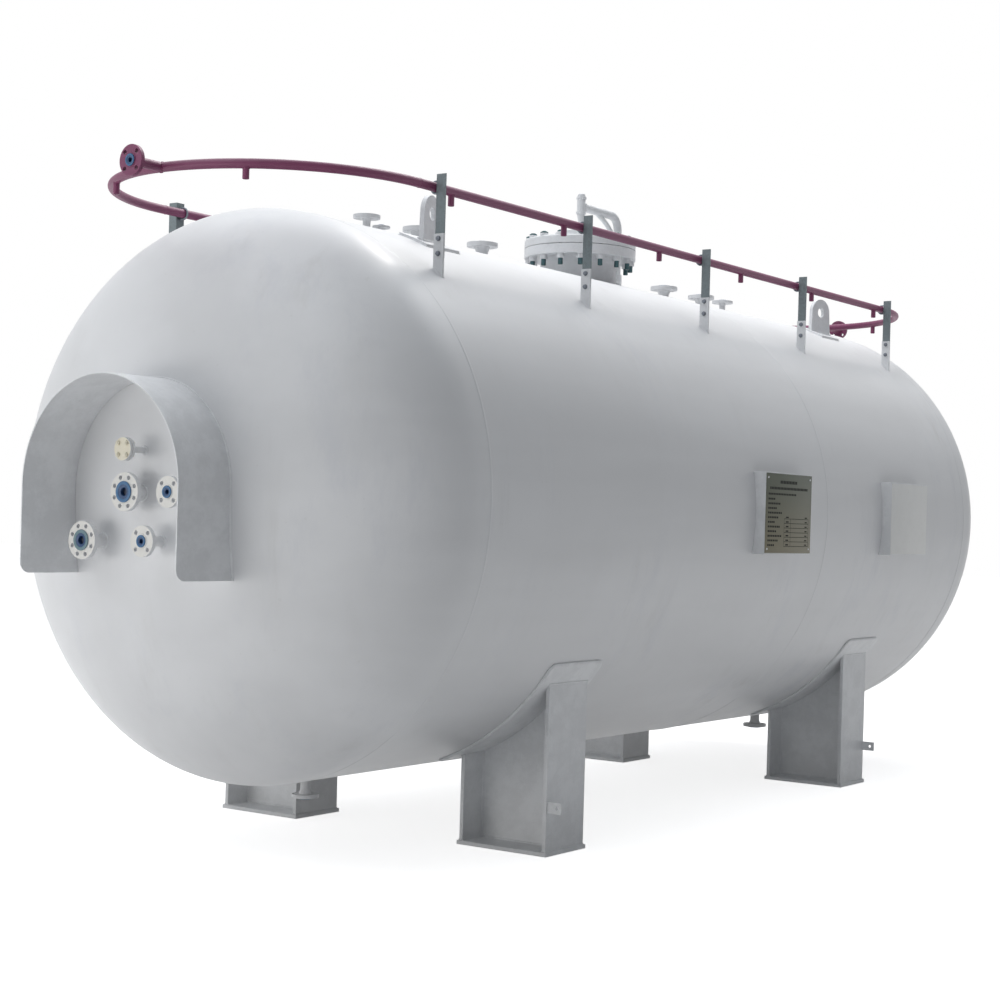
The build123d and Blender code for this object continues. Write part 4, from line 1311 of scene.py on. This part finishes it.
class TANK_OT_frame_finishes(bpy.types.Operator):
    """Paint the frame's gasket, which stays in view"""

    bl_idname = "tank.frame_finishes"
    bl_label = "Frame finishes"

    def execute(self, context):
        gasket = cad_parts["manhole_gasket"].data
        gasket.materials.clear()
        gasket.materials.append(finish_for("gasket"))
        return {"FINISHED"}


class TANK_OT_stage(bpy.types.Operator):
    """Set the floor, the sky, the lamps and the camera"""

    bl_idname = "tank.stage"
    bl_label = "Stage"

    def execute(self, context):
        settings = context.scene.tank_stage
        self.floor()
        self.sky(settings.world)
        middle_of_tank, near_end = (0, 0, 0), (-2, 0, 1.6)
        cool, warm, soft_warm = (0.935, 0.965, 1.0), (1.0, 0.97, 0.93), (1.0, 0.985, 0.96)
        self.lamp("top_lamp", (0.5, 0.5, 9.0), middle_of_tank, settings.top_power, (12.0, 7.0), cool)
        self.lamp("key_lamp", (4.0, 1.2, 10.5), middle_of_tank, settings.key_power, (1.6, 1.6), warm)
        self.lamp("near_lamp", (-8.0, 1.0, 9.0), near_end, settings.near_power, (6.0, 6.0), cool)
        self.lamp("left_lamp", (-8.0, 6.0, 3.0), near_end, settings.left_power, (9.0, 6.0), cool)
        self.lamp("low_lamp", (-9.0, 2.0, 0.9), near_end, settings.low_power, (5.0, 1.6), soft_warm)
        self.camera(settings)
        context.scene.view_settings.view_transform = "Standard"
        return {"FINISHED"}

    @staticmethod
    def floor():
        """A wide pale floor that fades to white with distance and keeps the tank's shadow."""
        mesh = bmesh.new()
        bmesh.ops.create_grid(mesh, x_segments=1, y_segments=1, size=60)
        data = bpy.data.meshes.new("floor")
        mesh.to_mesh(data)
        mesh.free()
        made = bpy.data.objects.new("floor", data)
        bpy.context.scene.collection.objects.link(made)
        ground = Finish("floor")
        base = ground.blend(ground.noise(3.0, 4.0), (0.87, 0.86, 0.85), (0.89, 0.88, 0.87))
        away = ground.add("ShaderNodeVectorMath", {"operation": "LENGTH"}, {0: ground.place}, output=1)
        light = ground.blend(ground.ramp(away, 5.0, 14.0), (0.76, 0.76, 0.76), (1.0, 1.0, 1.0))
        matt = ground.add("ShaderNodeBsdfDiffuse", None, {"Color": base})
        glow = ground.add("ShaderNodeEmission", None, {"Color": light, "Strength": 1.0})
        both = ground.add("ShaderNodeAddShader", None, {0: matt, 1: glow})
        shown = ground.add("ShaderNodeMixShader", None, {0: ground.seen(), 1: matt, 2: both})
        ground.add("ShaderNodeOutputMaterial", None, {"Surface": shown})
        data.materials.append(ground.material)

    @staticmethod
    def sky(strength):
        """A white background whose light on the tank is dimmer and a little blue."""
        world = bpy.data.worlds.new("studio")
        world.use_nodes = True
        bpy.context.scene.world = world
        air = Graph(world.node_tree)
        dim = air.add("ShaderNodeBackground", None, {"Color": (0.86, 0.92, 1.0, 1.0), "Strength": strength})
        white = air.add("ShaderNodeBackground", None, {"Color": (1.0, 1.0, 1.0, 1.0), "Strength": 1.0})
        shown = air.add("ShaderNodeMixShader", None, {0: air.seen(), 1: dim, 2: white})
        air.add("ShaderNodeOutputWorld", None, {"Surface": shown})

    @staticmethod
    def lamp(name, place, target, watts, size, colour):
        data = bpy.data.lights.new(name, "AREA")
        data.shape = "RECTANGLE"
        data.size, data.size_y = size
        data.energy = watts
        data.color = colour
        made = bpy.data.objects.new(name, data)
        made.visible_camera = False
        made.location = place
        made.rotation_euler = (Vector(target) - Vector(place)).to_track_quat("-Z", "Y").to_euler()
        bpy.context.scene.collection.objects.link(made)

    @staticmethod
    def camera(settings):
        """The photo's viewing angle: it looks along forward, with right to the right of the picture."""
        data = bpy.data.cameras.new("camera")
        data.lens = settings.lens
        data.sensor_width = 36
        data.clip_end = 200
        data.shift_x = -0.0099
        data.shift_y = 0.0300
        made = bpy.data.objects.new("camera", data)
        forward = Vector((0.81797, 0.57526, -0.00302)).normalized()
        right = Vector((0.57510, -0.81759, 0.02836))
        right = (right - forward * right.dot(forward)).normalized()
        up = right.cross(forward)
        made.matrix_world = Matrix.Translation(settings.camera) @ Matrix(
            (right, up, -forward)).transposed().to_4x4()
        bpy.context.scene.collection.objects.link(made)
        bpy.context.scene.camera = made


class TANK_PT_sidebar(bpy.types.Panel):
    """Lists the tank's pieces"""

    bl_idname = "TANK_PT_sidebar"
    bl_label = "Pressure tank"
    bl_space_type = "VIEW_3D"
    bl_region_type = "UI"
    bl_category = "Tank"

    def draw(self, context):
        for operator in OPERATORS:
            self.layout.operator(operator.bl_idname)


GROUPS = {"tank_shell": TankShellSizes, "tank_fittings": TankFittingSizes, "tank_paint": TankPaintColours,
          "tank_stage": TankStageSettings}
OPERATORS = (TANK_OT_shell, TANK_OT_near_end, TANK_OT_caps, TANK_OT_manhole, TANK_OT_davit, TANK_OT_nozzles,
             TANK_OT_lifting, TANK_OT_legs, TANK_OT_side_plates, TANK_OT_spray_ring, TANK_OT_posts,
             TANK_OT_frame_finishes, TANK_OT_stage)


def register():
    for group in GROUPS.values():
        bpy.utils.register_class(group)
    for operator in OPERATORS:
        bpy.utils.register_class(operator)
    bpy.utils.register_class(TANK_PT_sidebar)
    for name, group in GROUPS.items():
        setattr(bpy.types.Scene, name, bpy.props.PointerProperty(type=group))


def unregister():
    for name in GROUPS:
        delattr(bpy.types.Scene, name)
    bpy.utils.unregister_class(TANK_PT_sidebar)
    for operator in reversed(OPERATORS):
        bpy.utils.unregister_class(operator)
    for group in reversed(list(GROUPS.values())):
        bpy.utils.unregister_class(group)


def main():
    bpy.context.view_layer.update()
    register()
    for operator in OPERATORS:
        group, call = operator.bl_idname.split(".")
        getattr(getattr(bpy.ops, group), call)()


if __name__ == "__main__":
    main()
